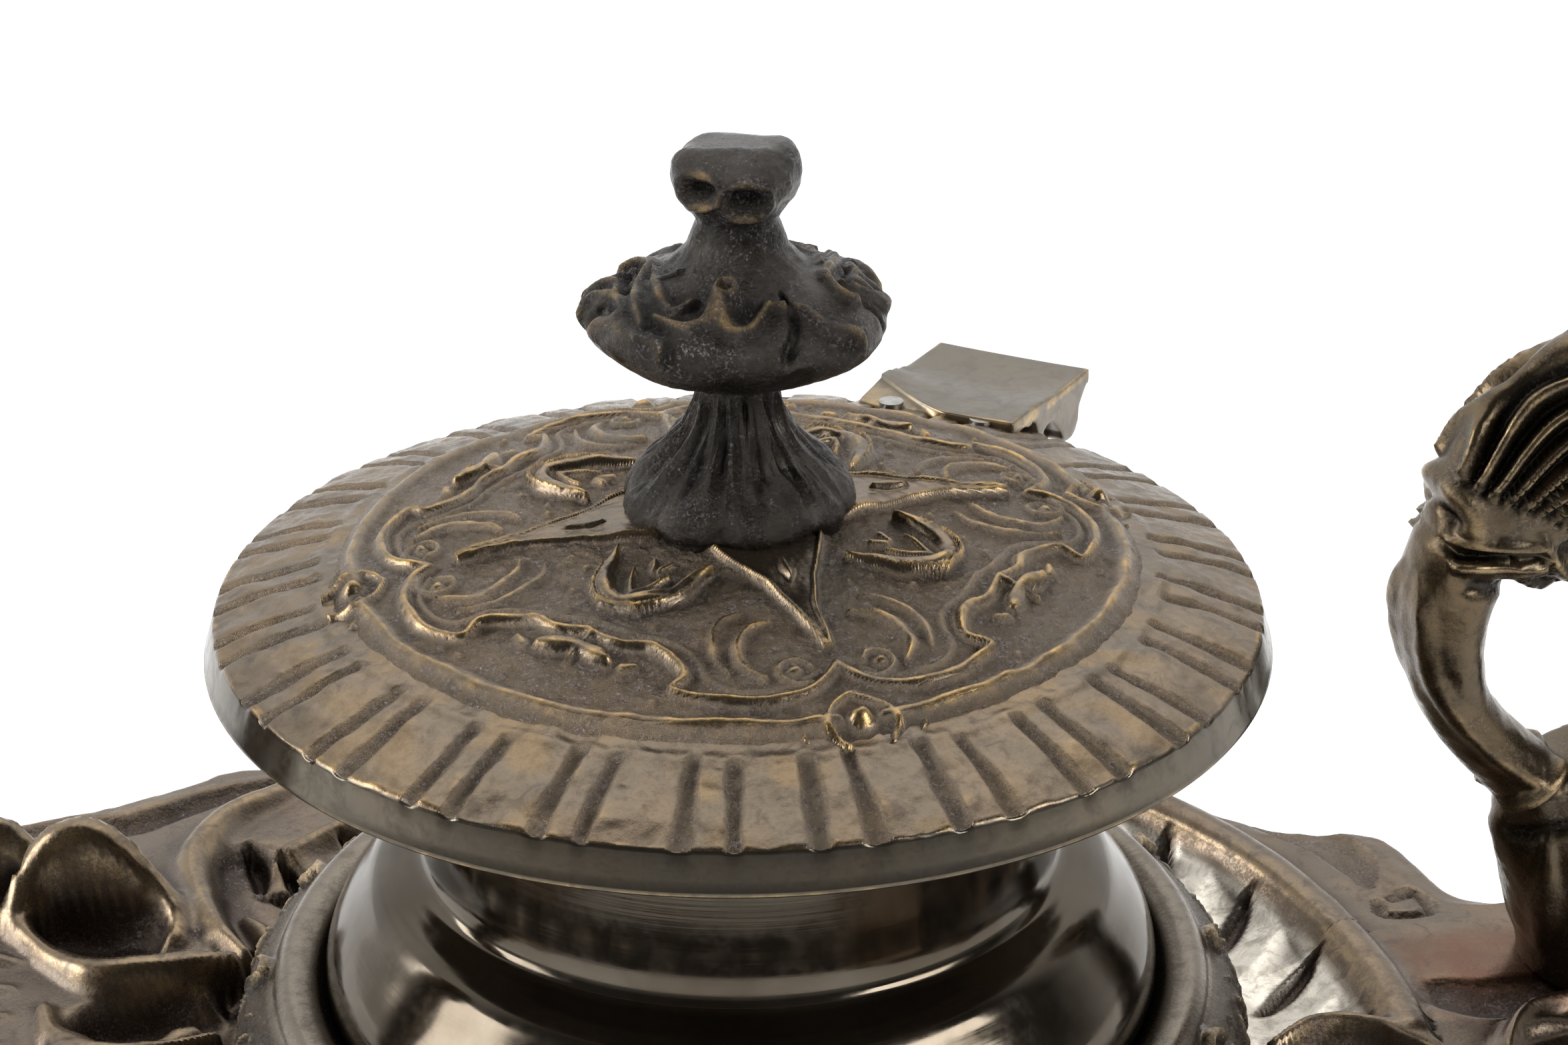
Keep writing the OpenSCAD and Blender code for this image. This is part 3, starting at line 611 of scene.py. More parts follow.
def build_border():
    """Fluted border, side wall and the hollow underside of the lid, in one skin."""
    count = 1300
    top_r = np.linspace(25.2, LID_R - 0.12, 42)
    bearing = np.arange(count) * TURN / count
    rr, bb = np.meshgrid(top_r, bearing)
    flat = np.stack([rr * np.sin(np.radians(bb)), rr * np.cos(np.radians(bb)), rr * 0], -1)
    groove = flute_profile(bb - HINGE_BEARING + 4.7, rr)
    start = 26.3 + 0.35 * noise(np.stack([bb * 0.35, bb * 0, bb * 0], -1), 1.0, 51)
    groove = groove * ramp(rr - start, -0.1, 0.6)
    panel = 1 - groove
    swell = 0.1 * ramp(rr, 26, 29) * (1 - ramp(rr, 31, 33))
    dents = 0.07 * rough_noise(flat, 2.2, 3, 61)
    rough = 0.08 * rough_noise(flat, 0.5, 2, 71)
    z = lid_dome(rr) - 0.3 * groove + swell * panel + 1.5 * dents * panel + rough * (0.25 + 0.75 * groove)
    z += 0.1 * ramp(-np.abs(rr - 26.5), -0.7, 0) * panel
    wear, cavity = edge_marks(z - lid_dome(rr), 5, 2.4)
    # painted shade in the grooves, kept faint
    cavity = 0.3 * cavity
    lip = ramp(rr, LID_R - 0.5, LID_R - 0.15) * panel
    wear = np.clip(wear + 0.75 * lip * (0.6 + 0.6 * noise(flat, 1.1, 81)), 0, 1)
    top = np.stack([flat[..., 0], flat[..., 1], z], -1)

    # side wall: its upper edge dips a little at each groove
    s, c = np.sin(np.radians(bearing)), np.cos(np.radians(bearing))
    notch = 0.1 * groove[:, -1]
    wall_rows = [(LID_R + 0.02, 0.1), (LID_R + 0.1, 0.34), (LID_R + 0.3, 1.0), (LID_R + 0.5, 1.7),
                 (LID_R + 0.68, 2.3), (LID_OUT, 2.48), (LID_OUT - 0.06, LID_WALL)]
    wall = []
    for k, (radius, down) in enumerate(wall_rows):
        fade = max(0.0, 1 - k * 0.45)
        zz = LID_RIM_Z - down - notch * fade * 1.2
        wall.append(np.stack([radius * s, radius * c, zz], -1))
    wall = np.stack(wall, 1)
    inside = [(LID_OUT - 1.2, LID_WALL), (LID_OUT - 1.75, LID_WALL - 0.1), (LID_OUT - 1.9, 1.9),
              (LID_OUT - 3.2, 1.4), (28.0, 0.9), (24.0, -0.2), (18.0, -1.3), (12.0, -2.1), (8.0, -2.4),
              (2.0, -2.7), (2.0, -4.6), (20.0, -2.4)]
    under = np.stack([
        np.stack([radius * s, radius * c, np.full(count, LID_RIM_Z - down)], -1) for radius, down in inside
    ], 1)
    p = np.concatenate([top, wall, under], 1)
    blank = np.zeros((count, len(inside)))
    wall_wear = np.zeros((count, len(wall_rows)))
    patchy = np.clip(0.75 + 0.5 * noise(np.stack([bearing * 0.3] * 3, -1), 1.0, 91), 0, 1)
    wall_wear[:, 0] = 0.5 * patchy
    wall_wear[:, -2] = 0.75 * patchy
    wall_wear[:, -1] = 0.6 * patchy
    reddish = 0.65 * panel * ramp(noise(flat, 2.3, 93), -0.1, 0.6)
    # painted shade: the lid's underside gets some of the shade colour
    marks = {
        "wear": np.concatenate([wear, wall_wear, blank], 1),
        "cavity": np.concatenate([cavity, wall_wear * 0, blank + 0.3], 1),
        "ground": np.concatenate([groove, wall_wear * 0, blank + 0.2], 1),
        "warm": np.concatenate([reddish, wall_wear * 0, blank], 1),
    }
    piece = grid_piece("lid_border", p, marks, loop=True)
    piece.data.materials.append(lid_bronze)
    piece.data.materials.append(wall_bronze)
    first, last = len(top_r) - 1, len(top_r) + len(wall_rows) - 2
    cells = p.shape[1]
    # faces are stored ring by ring along v for each step of u
    material = np.zeros(len(piece.data.polygons), int)
    column = np.arange(len(material)) % cells
    material[(column >= first + 1) & (column <= last)] = 1
    piece.data.polygons.foreach_set("material_index", material)
    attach(piece, "lid")
    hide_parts("lid_plate")


build_medallion()
build_border()


# ---------------------------------------------------------------- finial

# Bearing of the finial's front leaf, from the pot's back
FRONT_LEAF = 10.0


def fold_relief(x, y):
    """Curled leaf edges on the disc's top, seen from above with the front at -y."""
    h = np.zeros_like(x)
    cut = np.zeros_like(x)
    ridges = [
        ([(-4.8, -5.9, 0.6), (-3.2, -7.3), (-1.6, -7.1, 1.2), (-0.4, -7.8), (0.8, -7.7),
          (1.8, -5.8, 0.7)], 0.62, 0.7),
        ([(-5.0, -0.2, 0.5), (-4.7, -3.2), (-3.9, -5.6, 1.1), (-2.6, -5.2, 0.6)], 0.6, 0.6),
        ([(-7.6, 2.3, 0.6), (-6.3, 3.1), (-5.2, 1.3, 1.1), (-5.7, -1.1), (-6.0, -3.6),
          (-5.6, -6.2, 0.7)], 0.6, 0.7),
        ([(-9.2, -1.0, 0.7), (-8.3, 0.6), (-7.1, -0.6, 1.1), (-7.3, -2.6, 0.8)], 0.6, 0.7),
        ([(-8.7, -3.6, 0.7), (-7.5, -4.8, 1.1), (-6.2, -6.5), (-4.4, -8.0, 0.8)], 0.75, 0.7),
        ([(6.2, -1.3, 0.5), (7.6, -0.9, 1.1), (9.0, -0.6, 0.7)], 0.6, 0.6),
        ([(1.6, -6.0, 0.6), (3.7, -5.6), (5.2, -6.4, 1.1), (7.2, -5.8, 0.8)], 0.7, 0.6),
        ([(7.0, 5.0, 0.7), (7.2, 2.4), (8.4, 0.8), (9.4, 0.9, 0.7)], 0.65, 0.6),
        ([(3.4, 2.4, 0.4), (5.2, 2.2), (6.6, 1.0, 0.6)], 0.7, 0.35),
    ]
    furrows = [
        ([(-8.9, -2.4), (-7.9, -2.2), (-7.0, -4.0, 0.6)], 0.55, 0.7),
        ([(-6.6, 1.2, 0.5), (-6.8, -0.9), (-6.7, -2.4, 0.6)], 0.5, 0.5),
        ([(6.4, -2.4, 0.5), (7.8, -2.4), (9.4, -2.8)], 0.65, 0.8),
        ([(2.6, -4.6, 0.5), (3.4, -6.9), (2.9, -8.8)], 0.5, 0.5),
        ([(8.2, 3.4), (8.8, 2.2), (9.8, 2.0)], 0.5, 0.6),
    ]
    for turn in (1, -1):
        for points, width, height in ridges:
            stroke(h, turn * x, turn * y, points, width, height)
        for points, width, height in furrows:
            stroke(cut, turn * x, turn * y, points, width, height)
    return h - cut


def build_finial():
    height = node_box("finial")[1][2] - SEAT_Z
    base = smooth_curve([(0.5, -0.1), (6.4, -0.1), (7.0, 0.25), (7.25, 1.0), (6.9, 2.0), (5.8, 3.1),
                         (4.3, 4.4), (3.2, 5.9), (2.6, 7.3), (2.55, 8.6)], 8)
    disc = smooth_curve([(2.7, 8.9), (4.4, 9.4), (6.8, 10.4), (8.5, 11.5), (9.25, 12.4), (9.3, 13.3),
                         (8.8, 14.1), (7.6, 14.8), (6.0, 15.5), (4.5, 16.3), (3.2, 17.4), (2.7, 18.5)], 8)
    knob = smooth_curve([(2.5, 19.1), (2.7, 19.6), (3.2, 20.2), (3.7, 21.0), (3.95, 21.9), (3.8, 22.9),
                         (3.2, height - 0.3), (2.2, height - 0.06), (0.6, height - 0.04)], 8)
    profile = even_steps(np.vstack([base, disc, knob]), 0.2)
    count = 460
    p = lathe_points(profile, count)
    n = outward_normals(p, 40)
    r, z = np.broadcast_to(profile[:, 0][None], p.shape[:2]), p[..., 2]
    bearing = bearing_of(p)
    turn = np.radians(bearing)
    # plan coordinates with the front leaf at -y
    lean = np.radians(bearing - FRONT_LEAF)
    fx, fy = r * np.sin(lean), r * np.cos(lean)
    on_base = 1 - ramp(z, 7.6, 8.7)
    on_disc = ramp(z, 8.8, 9.8) * (1 - ramp(z, 18.2, 19.4))
    on_knob = ramp(z, 19.4, 20.2)

    # base: softly lobed foot and rough upright streaks
    petals = np.abs(np.sin(turn * 4.5 + 0.6 * noise(p, 3.0, 101)))
    h = on_base * (1 - ramp(z, 1.6, 3.4)) * (0.3 * petals - 0.2)
    streak = rough_noise(np.stack([np.sin(turn) * 4.2, np.cos(turn) * 4.2, z * 0.16], -1), 0.75, 3, 103)
    h += on_base * ramp(z, 1.2, 3.4) * 0.42 * streak
    # disc: wavy rim, curled leaf edges on top, a smooth underside
    top = ramp(z, 12.2, 13.4) * on_disc
    h += on_disc * ramp(r, 6.5, 9.0) * (0.16 * np.cos(turn * 5 + 0.4) + 0.2 * noise(p, 3.4, 105))
    h += top * (0.8 * fold_relief(fx, fy) * ramp(r, 2.8, 4.4) + 0.16 * noise(p, 2.6, 109))
    h += (1 - ramp(z, 11.0, 12.4)) * on_disc * 0.12 * noise(p, 2.5, 111)
    # knob: leafy bud with a flat top that slopes to the front
    h += on_knob * ramp(r, 1.8, 3.2) * (0.08 * np.cos(turn * 4 + 0.7) + 0.2 * noise(p, 1.7, 115))
    # two hollows open in the front of the bud
    for side, up, wide in ((-2.2, 21.9, 1.05), (0.5, 21.4, 1.3)):
        away = np.hypot((fx - side) / wide, (z - up) / 1.15)
        h -= on_knob * (fy < 0) * 1.1 * ramp(1.0 - away, 0, 0.75)
        h += on_knob * (fy < 0) * 0.25 * ramp(0.35 - np.abs(away - 1.15), 0, 0.35)
    grain = 0.075 * rough_noise(p, 0.8, 3, 117)
    polished = ramp(z, height - 0.35, height - 0.1) * ramp(fy, -1.4, 0.2)
    h += grain * (1 - polished) * (1 - 0.45 * on_disc * (1 - top))
    p = p + n * h[..., None]
    p[..., 2] -= on_knob * 0.6 * ramp(-fy, 0.9, 3.4) * ramp(z, 21.6, height - 0.3)
    # a broken leaf tip stands on the front of the disc
    away = np.hypot(fx + 0.7, fy + 6.3)
    tip = ramp(1.55 - away, 0.0, 1.0) * top
    p[..., 2] += 1.9 * tip - 0.5 * ramp(0.55 - away, 0, 0.35) * top
    p[..., 2] = np.minimum(p[..., 2], height)
    wear, cavity = edge_marks(h, 4, 2.4)
    wear = np.clip(wear + 0.9 * ramp(tip, 0.75, 0.98) + 0.25 * ramp(0.9 - z, 0, 0.6) * on_base, 0, 1)
    # painted shade: the neck below the knob and a ring round the foot of the broken tip are darkened, on
    # top of the shade in the hollows
    round_tip = ramp(0.25 - np.abs(tip - 0.2), 0, 0.2)
    cavity = np.clip(cavity + 0.6 * ramp(z, 17.6, 18.6) * (1 - on_knob) + 0.4 * round_tip, 0, 1)
    marks = {"wear": wear, "cavity": cavity,
             "ground": np.clip(0.55 + 0.6 * noise(p, 2.0, 119) - polished, 0, 1)}
    p[..., 2] += SEAT_Z
    piece = grid_piece("finial_casting", p, marks, caps=True)
    return finish_piece(piece, "lid", finial_bronze, ["finial"])


build_finial()


# ---------------------------------------------------------------- pot, liner and feet

def turned(name, profile, body, material, slot, replaces, count=240, centre=(0, 0)):
    """A turned part from the rows (radius, z) of its closed half section."""
    p = lathe_points(np.asarray(profile, float), count)
    p[..., 0] += centre[0]
    p[..., 1] += centre[1]
    return finish_piece(grid_piece(name, p, loop=True), body, material, replaces)


def build_pot():
    floor_z, rim_z = POT_LOW[2], POT_HIGH[2]
    bore, mouth, lip = 2.2, 17.9, 22.4
    low, neck = BELLY_R - 0.7, 20.6
    lower = smooth_curve([(low - 5, floor_z), (low - 2.4, floor_z + 4), (low, GROOVE_Z - 2.4)], 4)
    sweep = smooth_curve([
        (low, GROOVE_Z - 1.2), (BELLY_R, GROOVE_Z + 0.4), (BELLY_R - 0.6, GROOVE_Z + 3),
        (BELLY_R - 2.6, GROOVE_Z + 6), (BELLY_R - 3.5, GROOVE_Z + 7.2), (BELLY_R - 4.5, GROOVE_Z + 7.9),
        (BELLY_R - 5.5, GROOVE_Z + 8.3), (BELLY_R - 6.3, GROOVE_Z + 8.6), (neck + 0.45, GROOVE_Z + 9.0),
        (neck + 0.2, GROOVE_Z + 9.6), (neck + 0.1, GROOVE_Z + 10.4), (neck + 0.15, GROOVE_Z + 11.6),
        (neck + 0.3, GROOVE_Z + 13.3), (neck + 0.5, GROOVE_Z + 15.8), (neck + 0.8, GROOVE_Z + 18.8),
        (neck + 1.2, GROOVE_Z + 21.3), (lip, rim_z - 0.9),
    ], 12)
    sides = [(lip + 0.05, rim_z - 0.3), (lip - 0.3, rim_z), (mouth + 0.2, rim_z), (mouth, rim_z - 0.2)]
    inside = smooth_curve([
        (mouth, GROOVE_Z + 10), (low - 3.4, GROOVE_Z + 1), (low - 3.4, GROOVE_Z - 2.4),
        (low - 7.2, floor_z + 2.2),
    ], 6)
    profile = np.vstack([[(bore, floor_z)], lower, sweep, sides, inside, [(bore, floor_z + 2.2)]])
    return turned("pot_turned", profile, "base", polished_bronze, "polished_bronze", ["pot_body"], 300)


def build_liner():
    low, high = node_box("ink_liner")
    outer, wall, flange, thick = 17.6, 2.0, 21.2, 1.1
    inner = outer - wall
    under = high[2] - thick
    shell = smooth_curve([(4.0, low[2]), (outer - 2.4, low[2] + 0.15), (outer - 0.4, low[2] + 1.9),
                          (outer, low[2] + 4.5)], 6)
    edge = [(outer, under - 0.3), (outer + 0.2, under), (flange - 0.25, under), (flange, under + 0.25),
            (flange, high[2] - 0.35), (flange - 0.35, high[2]), (inner + 0.5, high[2]),
            (inner, high[2] - 0.5)]
    well = smooth_curve([(inner, low[2] + 6), (inner - 0.9, low[2] + 3.6),
                         (inner - 4, low[2] + wall + 0.1), (4.0, low[2] + wall)], 6)
    profile = np.vstack([[(0.02, low[2])], shell, edge, well, [(0.02, low[2] + wall)]])
    return turned("liner_china", profile, "liner", china, "china", ["ink_liner"], 180)


FEET = ("foot_front_left", "foot_front_right", "foot_back_left", "foot_back_right")


def build_feet():
    for node in FEET:
        low, high = node_box(node)
        middle = (low + high) / 2
        wide = (high[0] - low[0]) / 2
        bore, head = 1.4, 2.7
        outside = smooth_curve([(wide - 1.6, 0), (wide - 0.9, 0.35), (wide, 1.9), (wide - 0.55, 3.0),
                                (wide - 1.5, 3.5), (wide - 1.3, 4.0), (wide - 1.6, high[2])], 6)
        profile = np.vstack([[(head, 0)], outside, [(bore, high[2]), (bore, 2.6), (head, 2.6)]])
        turned(node + "_bun", profile, "base", dark_bronze, "dark_bronze", [node], 96, middle[:2])


build_pot()
build_liner()
build_feet()


# ---------------------------------------------------------------- leaf cup

SPRAYS = 16


def spray_relief(side, down):
    """One leaf spray: side is the distance from its middle round the cup, down from the bead."""
    h = np.zeros_like(side)
    half = math.pi * CUP_R / SPRAYS
    a = np.abs(side)

    def line(points, width, height, flat=0.0):
        stroke(h, a, down, points, width, height, flat)

    line([(0.5, 2.1, 0.6), (1.5, 2.6), (2.5, 3.8), (3.0, 5.4, 0.9), (2.5, 7.4, 0.5)], 0.36, 0.5)
    line([(1.1, 3.0, 0.5), (1.7, 4.0), (1.9, 5.4), (1.6, 7.0, 0.5)], 0.26, 0.32)
    line([(half, 1.9, 0.4), (half - 1.1, 2.9), (half - 1.6, 4.4, 1.1), (half - 1.1, 6.2),
          (half, 7.6, 0.5)], 0.4, 0.55)
    line([(half, 2.6, 0.5), (half, 7.2, 0.9)], 0.3, 0.5)
    line([(half - 2.2, 1.6, 0.3), (half - 2.9, 2.4, 0.9), (half - 2.7, 3.3, 0.3)], 0.4, 0.42)
    for k in range(5):
        t = 3.1 + 0.85 * k
        line([(half, t + 0.5, 0.6), (half - 0.75, t - 0.15, 0.8)], 0.17, 0.34)
        line([(2.1 + 0.12 * k, t, 0.7), (2.75, t + 0.55, 0.7)], 0.16, 0.3)
    for row in range(7):
        for column in range(3):
            x = 0.3 + 0.62 * column - (0.28 if row % 2 else 0.0)
            t = 2.9 + 0.68 * row + 0.12 * math.sin(5 * column + 3 * row)
            line([(x, t), (x + 0.02, t)], 0.31, 0.34, 0.15)
    return h


def build_cup():
    floor = CUP_LOW[2]
    bore, sole = 2.3, CUP_R - 8
    roll = smooth_curve([(CUP_R - 7, floor + 0.35), (CUP_R - 2, floor + 2.9), (CUP_R - 0.15, floor + 6.3),
                         (CUP_R - 0.75, floor + 9.3), (CUP_R - 2.5, GROOVE_Z - 0.6)], 20)
    bead = smooth_curve([(CUP_R - 2.75, GROOVE_Z - 0.35), (CUP_R - 2.95, GROOVE_Z + 0.15),
                         (CUP_R - 3.6, GROOVE_Z + 0.72), (CUP_R - 4.6, GROOVE_Z + 0.74),
                         (CUP_R - 5.5, GROOVE_Z + 0.3), (BELLY_R + 0.3, GROOVE_Z - 0.3)], 6)
    side = even_steps(np.vstack([roll, bead]), 0.23)
    inside = [(BELLY_R - 0.4, GROOVE_Z - 1.4), (BELLY_R - 0.4, GROOVE_Z - 2.6),
              (BELLY_R - 4, floor + 5), (BELLY_R - 3.6, floor + 2.4), (bore, floor + 2.4)]
    profile = np.vstack([[(bore, floor), (sole, floor)], side, inside])
    count = 1000
    p = lathe_points(profile, count)
    n = outward_normals(p, 30)
    length = np.concatenate([[0], np.cumsum(np.hypot(*np.diff(profile, axis=0).T))])
    foot = length[2 + np.argmin(np.hypot(side[:, 0] - (CUP_R - 2.8), side[:, 1] - (GROOVE_Z - 0.5)))]
    down = np.broadcast_to(foot - length, p.shape[:2])
    pitch = TURN / SPRAYS
    bearing = bearing_of(p)
    wobble = 0.22 * noise(p, 2.4, 201)
    turned_by = (bearing + 4.0) % pitch - pitch / 2
    around = turned_by * math.pi * CUP_R / 180 + wobble
    on_roll = ramp(down, 0.15, 0.7) * (1 - ramp(down, 9.0, 10.5))
    h = spray_relief(around, down + 0.18 * noise(p, 2.9, 203))
    rough = 0.1 * rough_noise(p, 0.7, 3, 205) + 0.08 * noise(p, 1.9, 207)
    h = on_roll * (h * (1 + 0.25 * noise(p, 1.4, 209)) + rough - 0.22)
    tip = np.zeros_like(h)
    stroke(tip, around, down, [(-1.15, 1.55, 0.25), (-0.75, 0.75, 0.8), (0.1, 0.5, 1.15),
                               (0.95, 0.75, 0.7), (1.3, 1.3, 0.2)], 0.62, 0.85, 0.1)
    h = np.maximum(h, tip)
    outer = p.shape[1] - len(inside)
    used = (np.arange(p.shape[1]) >= 2) & (np.arange(p.shape[1]) < outer)
    h = h * used[None]
    p = p + n * h[..., None]
    wear, cavity = edge_marks(h, 3, 3.4)
    wear = np.clip(wear + 1.2 * ramp(tip, 0.25, 0.6), 0, 1)
    on_bead = ramp(-down, -0.2, 0.3)
    # painted shade in the sprays' hollows; the whole leaf roll is darkened a little too
    marks = {"wear": wear, "cavity": cavity + 0.35 * on_roll, "ground": on_roll * (1 - on_bead),
             "polish_and_highlight": on_bead}
    return finish_piece(grid_piece("leaf_cup_casting", p, marks, loop=True), "base", cup_bronze,
                        ["leaf_cup"])


build_cup()


# ---------------------------------------------------------------- tray

OUTLINE_HALF = [
    (74, 0), (72.6, 8), (66, 8.2), (60, 8.2), (56.8, 10.6), (55.6, 17), (53.6, 20), (45.9, 23),
    (35.4, 33.2), (24, 42.4), (8, 47.8), (-14, 48.2), (-33, 47), (-44, 43.4), (-53, 41), (-60, 34),
    (-61.5, 22), (-61, 13), (-65, 9), (-72.6, 8),
]
NOTCH_PITCH = 12.0


def drawn(z, x, y, points, width, flat=0.0, sink=False):
    """Raises (or with sink, lowers) a height field to the heights of a curve.

    points are rows of x, y, height and, where it swells, a factor on the width.
    """
    rows = np.array([(*p[:3], p[3] if len(p) > 3 else 1.0) for p in points], float)
    curve = even_steps(smooth_curve(rows, 10), DRAWN_STEP)
    near = touched(x, y, curve, width)
    if near[0].size == 0:
        return
    px, py = x[near], y[near]
    best, level = np.full(px.shape, FAR), np.zeros(px.shape)
    for cx, cy, height, swell in curve:
        away = ((px - cx) ** 2 + (py - cy) ** 2) / (width * swell) ** 2
        closer = away < best
        best = np.where(closer, away, best)
        level = np.where(closer, height, level)
    step = np.minimum(level - z[near], 0) if sink else np.maximum(level - z[near], 0)
    z[near] += step * rounded(best, flat)


def rocaille(z, x, y):
    """Shell-work of the left back quarter, on the tray's flat border."""

    def form(points, width, flat=0.0, sink=False):
        drawn(z, x, y, points, width, flat, sink)

    field = TRAY_TOP - 0.2
    form([(-33, 43, field), (-40, 33, field), (-40, 25, field), (-40, 17, field), (-41, 11, field)],
         5.5, 0.65)
    # smooth rolled rim with a furrow inside it
    form([(-52, 39.4, 9.9, 0.5), (-47.3, 40.2, 9.6), (-42.6, 39.2, 9.4, 1.2), (-38.2, 41.2, 9.4, 1.2),
          (-34, 43.2, 9.6), (-28, 44.2, 10.0, 0.6)], 1.6, 0.2, sink=True)
    # C-scroll: the ridge, its bowl towards the pot and the dents in the bowl
    form([(-33.2, 31.5, 9.0, 0.8), (-32.2, 27, 8.6), (-31.5, 22.5, 8.2)], 4.2, 0.3, sink=True)
    form([(-27.6, 43.6, 11.2, 0.6), (-30.6, 41.4, 11.6), (-34.6, 38.0, 12.0, 1.1),
          (-37.0, 32.7, 12.2, 1.2), (-36.8, 27.3, 12.0, 1.1), (-35.2, 21.9, 11.6),
          (-33.4, 18.6, 11.0, 0.7)], 1.9)
    form([(-33.0, 34.4, 7.9, 0.5), (-32.3, 32.4, 7.6), (-32.2, 30.2, 7.8, 0.6)], 1.0, sink=True)
    form([(-30.4, 32.6, 7.4, 0.5), (-29.4, 30.4, 7.0), (-28.6, 28.0, 7.2, 0.6)], 1.0, sink=True)
    form([(-33.4, 25.6, 9.4, 0.6), (-32.2, 24.0, 9.5), (-31.6, 21.6, 9.2, 0.6)], 1.3)
    # two hoods with deep hollows that open to the front
    form([(-49.4, 24.6, 12.2, 0.7), (-48.9, 27.0, 15.0), (-47.0, 28.2, 17.0, 1.1),
          (-44.6, 28.0, 17.6, 1.2), (-42.4, 27.3, 16.6, 1.1), (-40.8, 26.3, 14.8), (-39.4, 24.4, 13.0),
          (-38.8, 21.8, 11.6, 0.8)], 2.9, 0.15)
    form([(-46.4, 23.0, 8.6), (-44.2, 22.8, 8.2), (-42.0, 22.4, 8.6)], 3.7, 0.45, sink=True)
    form([(-55.5, 29.0, 12.6, 0.8), (-54.4, 32.0, 14.6), (-52.2, 33.6, 15.4), (-50.0, 33.0, 14.8),
          (-48.7, 31.0, 13.0), (-48.6, 29.2, 11.8, 0.7)], 2.2, 0.15)
    form([(-53.0, 29.2, 8.8), (-51.0, 29.2, 8.8)], 2.6, 0.4, sink=True)
    # ridge between the hoods' mouths and the lower hollow
    form([(-56.5, 25.0, 11.2, 0.7), (-53.0, 25.6, 11.6), (-50.0, 25.6, 12.0), (-48.6, 22.4, 11.8, 0.9),
          (-46.7, 19.4, 12.0), (-44.0, 16.6, 12.5, 1.2), (-40.4, 15.9, 12.8, 1.3),
          (-36.8, 16.4, 12.4, 1.2), (-34.4, 17.6, 11.4, 0.8)], 1.5, 0.2)
    form([(-43.0, 11.6, 7.6), (-40.0, 12.0, 7.4), (-37.4, 11.6, 7.6)], 3.2, 0.4, sink=True)
    form([(-37.4, 9.6, 10.6), (-38.2, 9.2, 10.8)], 2.0, 0.1)
    form([(-47.4, 13.6, 11.4, 0.7), (-46.6, 10.0, 11.6), (-43.6, 7.0, 12.0, 1.1),
          (-39.4, 6.0, 12.2, 1.2), (-35.6, 7.4, 11.6, 0.8)], 1.4, 0.1)
    # long feathers that run out to the corner
    for k in range(4):
        start, end = (-49.5 - 0.4 * k, 20.5 - 3.4 * k), (-58.5, 27.0 - 6.2 * k)
        bend = ((start[0] + end[0]) / 2, (start[1] + end[1]) / 2 - 1.2)
        form([(*start, 10.9, 0.5), (*bend, 11.5, 1.2), (*end, 10.8, 0.5)], 1.3)


def side_panels(z, x, y):
    """Recessed panels of the plain right border and the leaf that runs on to the end plate."""

    def form(points, width, flat=0.0, sink=False):
        drawn(z, x, y, points, width, flat, sink)

    low = TRAY_TOP - 0.6
    form([(43.2, 26.2, low, 0.3), (46.2, 23.0, low, 0.8), (49.6, 19.0, low, 1.1),
          (50.6, 15.4, low, 0.9), (50.4, 12.4, low, 0.3)], 1.9, 0.72, sink=True)
    form([(50.3, 9.6, low), (50.1, 7.9, low), (53.4, 7.6, low), (53.5, 10.4, low),
          (51.4, 9.8, low, 0.7)], 0.55, 0.3, sink=True)
    form([(50.6, -3.0, 9.9), (53.5, -4.2, 9.8, 1.1), (57.6, -3.4, 9.9, 0.8)], 2.4, 0.4, sink=True)
    form([(51.2, -11.5, 11.4, 0.6), (52.8, -8.8, 12.0), (55.2, -6.7, 12.0, 1.1), (58.4, -5.6, 11.6),
          (62.0, -5.2, 11.0, 0.6)], 1.1)


def tray_top_height(x, y, inset):
    r = np.hypot(x, y)
    bearing = np.degrees(np.arctan2(x, y))
    z = np.interp(r, [35.0, 38.0, 41.0, 43.2, 44.2, 44.9], [DISH_FLOOR, 7.75, 8.35, 9.2, 9.9, TRAY_TOP])
    # slanted spindle notches between soft swellings
    along = (r - 37.6) / 6.6
    slanted = (bearing + 5.5 * along + 1.0) % NOTCH_PITCH - NOTCH_PITCH / 2
    across = np.abs(slanted) * r * math.pi / 180
    inside = np.clip(along, 0, 1)
    spindle = 1.15 * np.sin(math.pi * inside) ** 0.7
    swell = 0.55 * ramp(r, 36, 39) * (1 - ramp(r, 42.5, 44.4)) * np.cos(slanted * math.pi / NOTCH_PITCH)
    notch = ramp(1 - across / np.maximum(spindle, 0.01), 0.0, 0.75) * (along > 0) * (along < 1)
    z = z + 0.45 - swell - 1.1 * notch
    z = np.where(r > 44.9, TRAY_TOP, z)
    z = np.where(r < 35.5, DISH_FLOOR, z)
    # bead between the shell-work of the two opposite quarters
    fold = np.abs((bearing - BEAD_MIDDLE + 90) % 180 - 90)
    bead_on = 1 - ramp(fold, 58, 64)
    bead = np.sqrt(np.clip(BEAD_HALF**2 - (r - BEAD_R) ** 2, 0, None)) * bead_on
    z = np.maximum(z, TRAY_TOP * (bead > 0) + bead * 0.92 - 0.1)
    # flat border falls off softly at its outer edge
    z = z - 0.9 * (1 - ramp(inset, 0, 1.3)) ** 2 - 0.25 * (1 - ramp(inset, 0.8, 3.0))
    for turn in (1, -1):
        rocaille(z, turn * x, turn * y)
        side_panels(z, turn * x, turn * y)
    return z, notch, bead_on


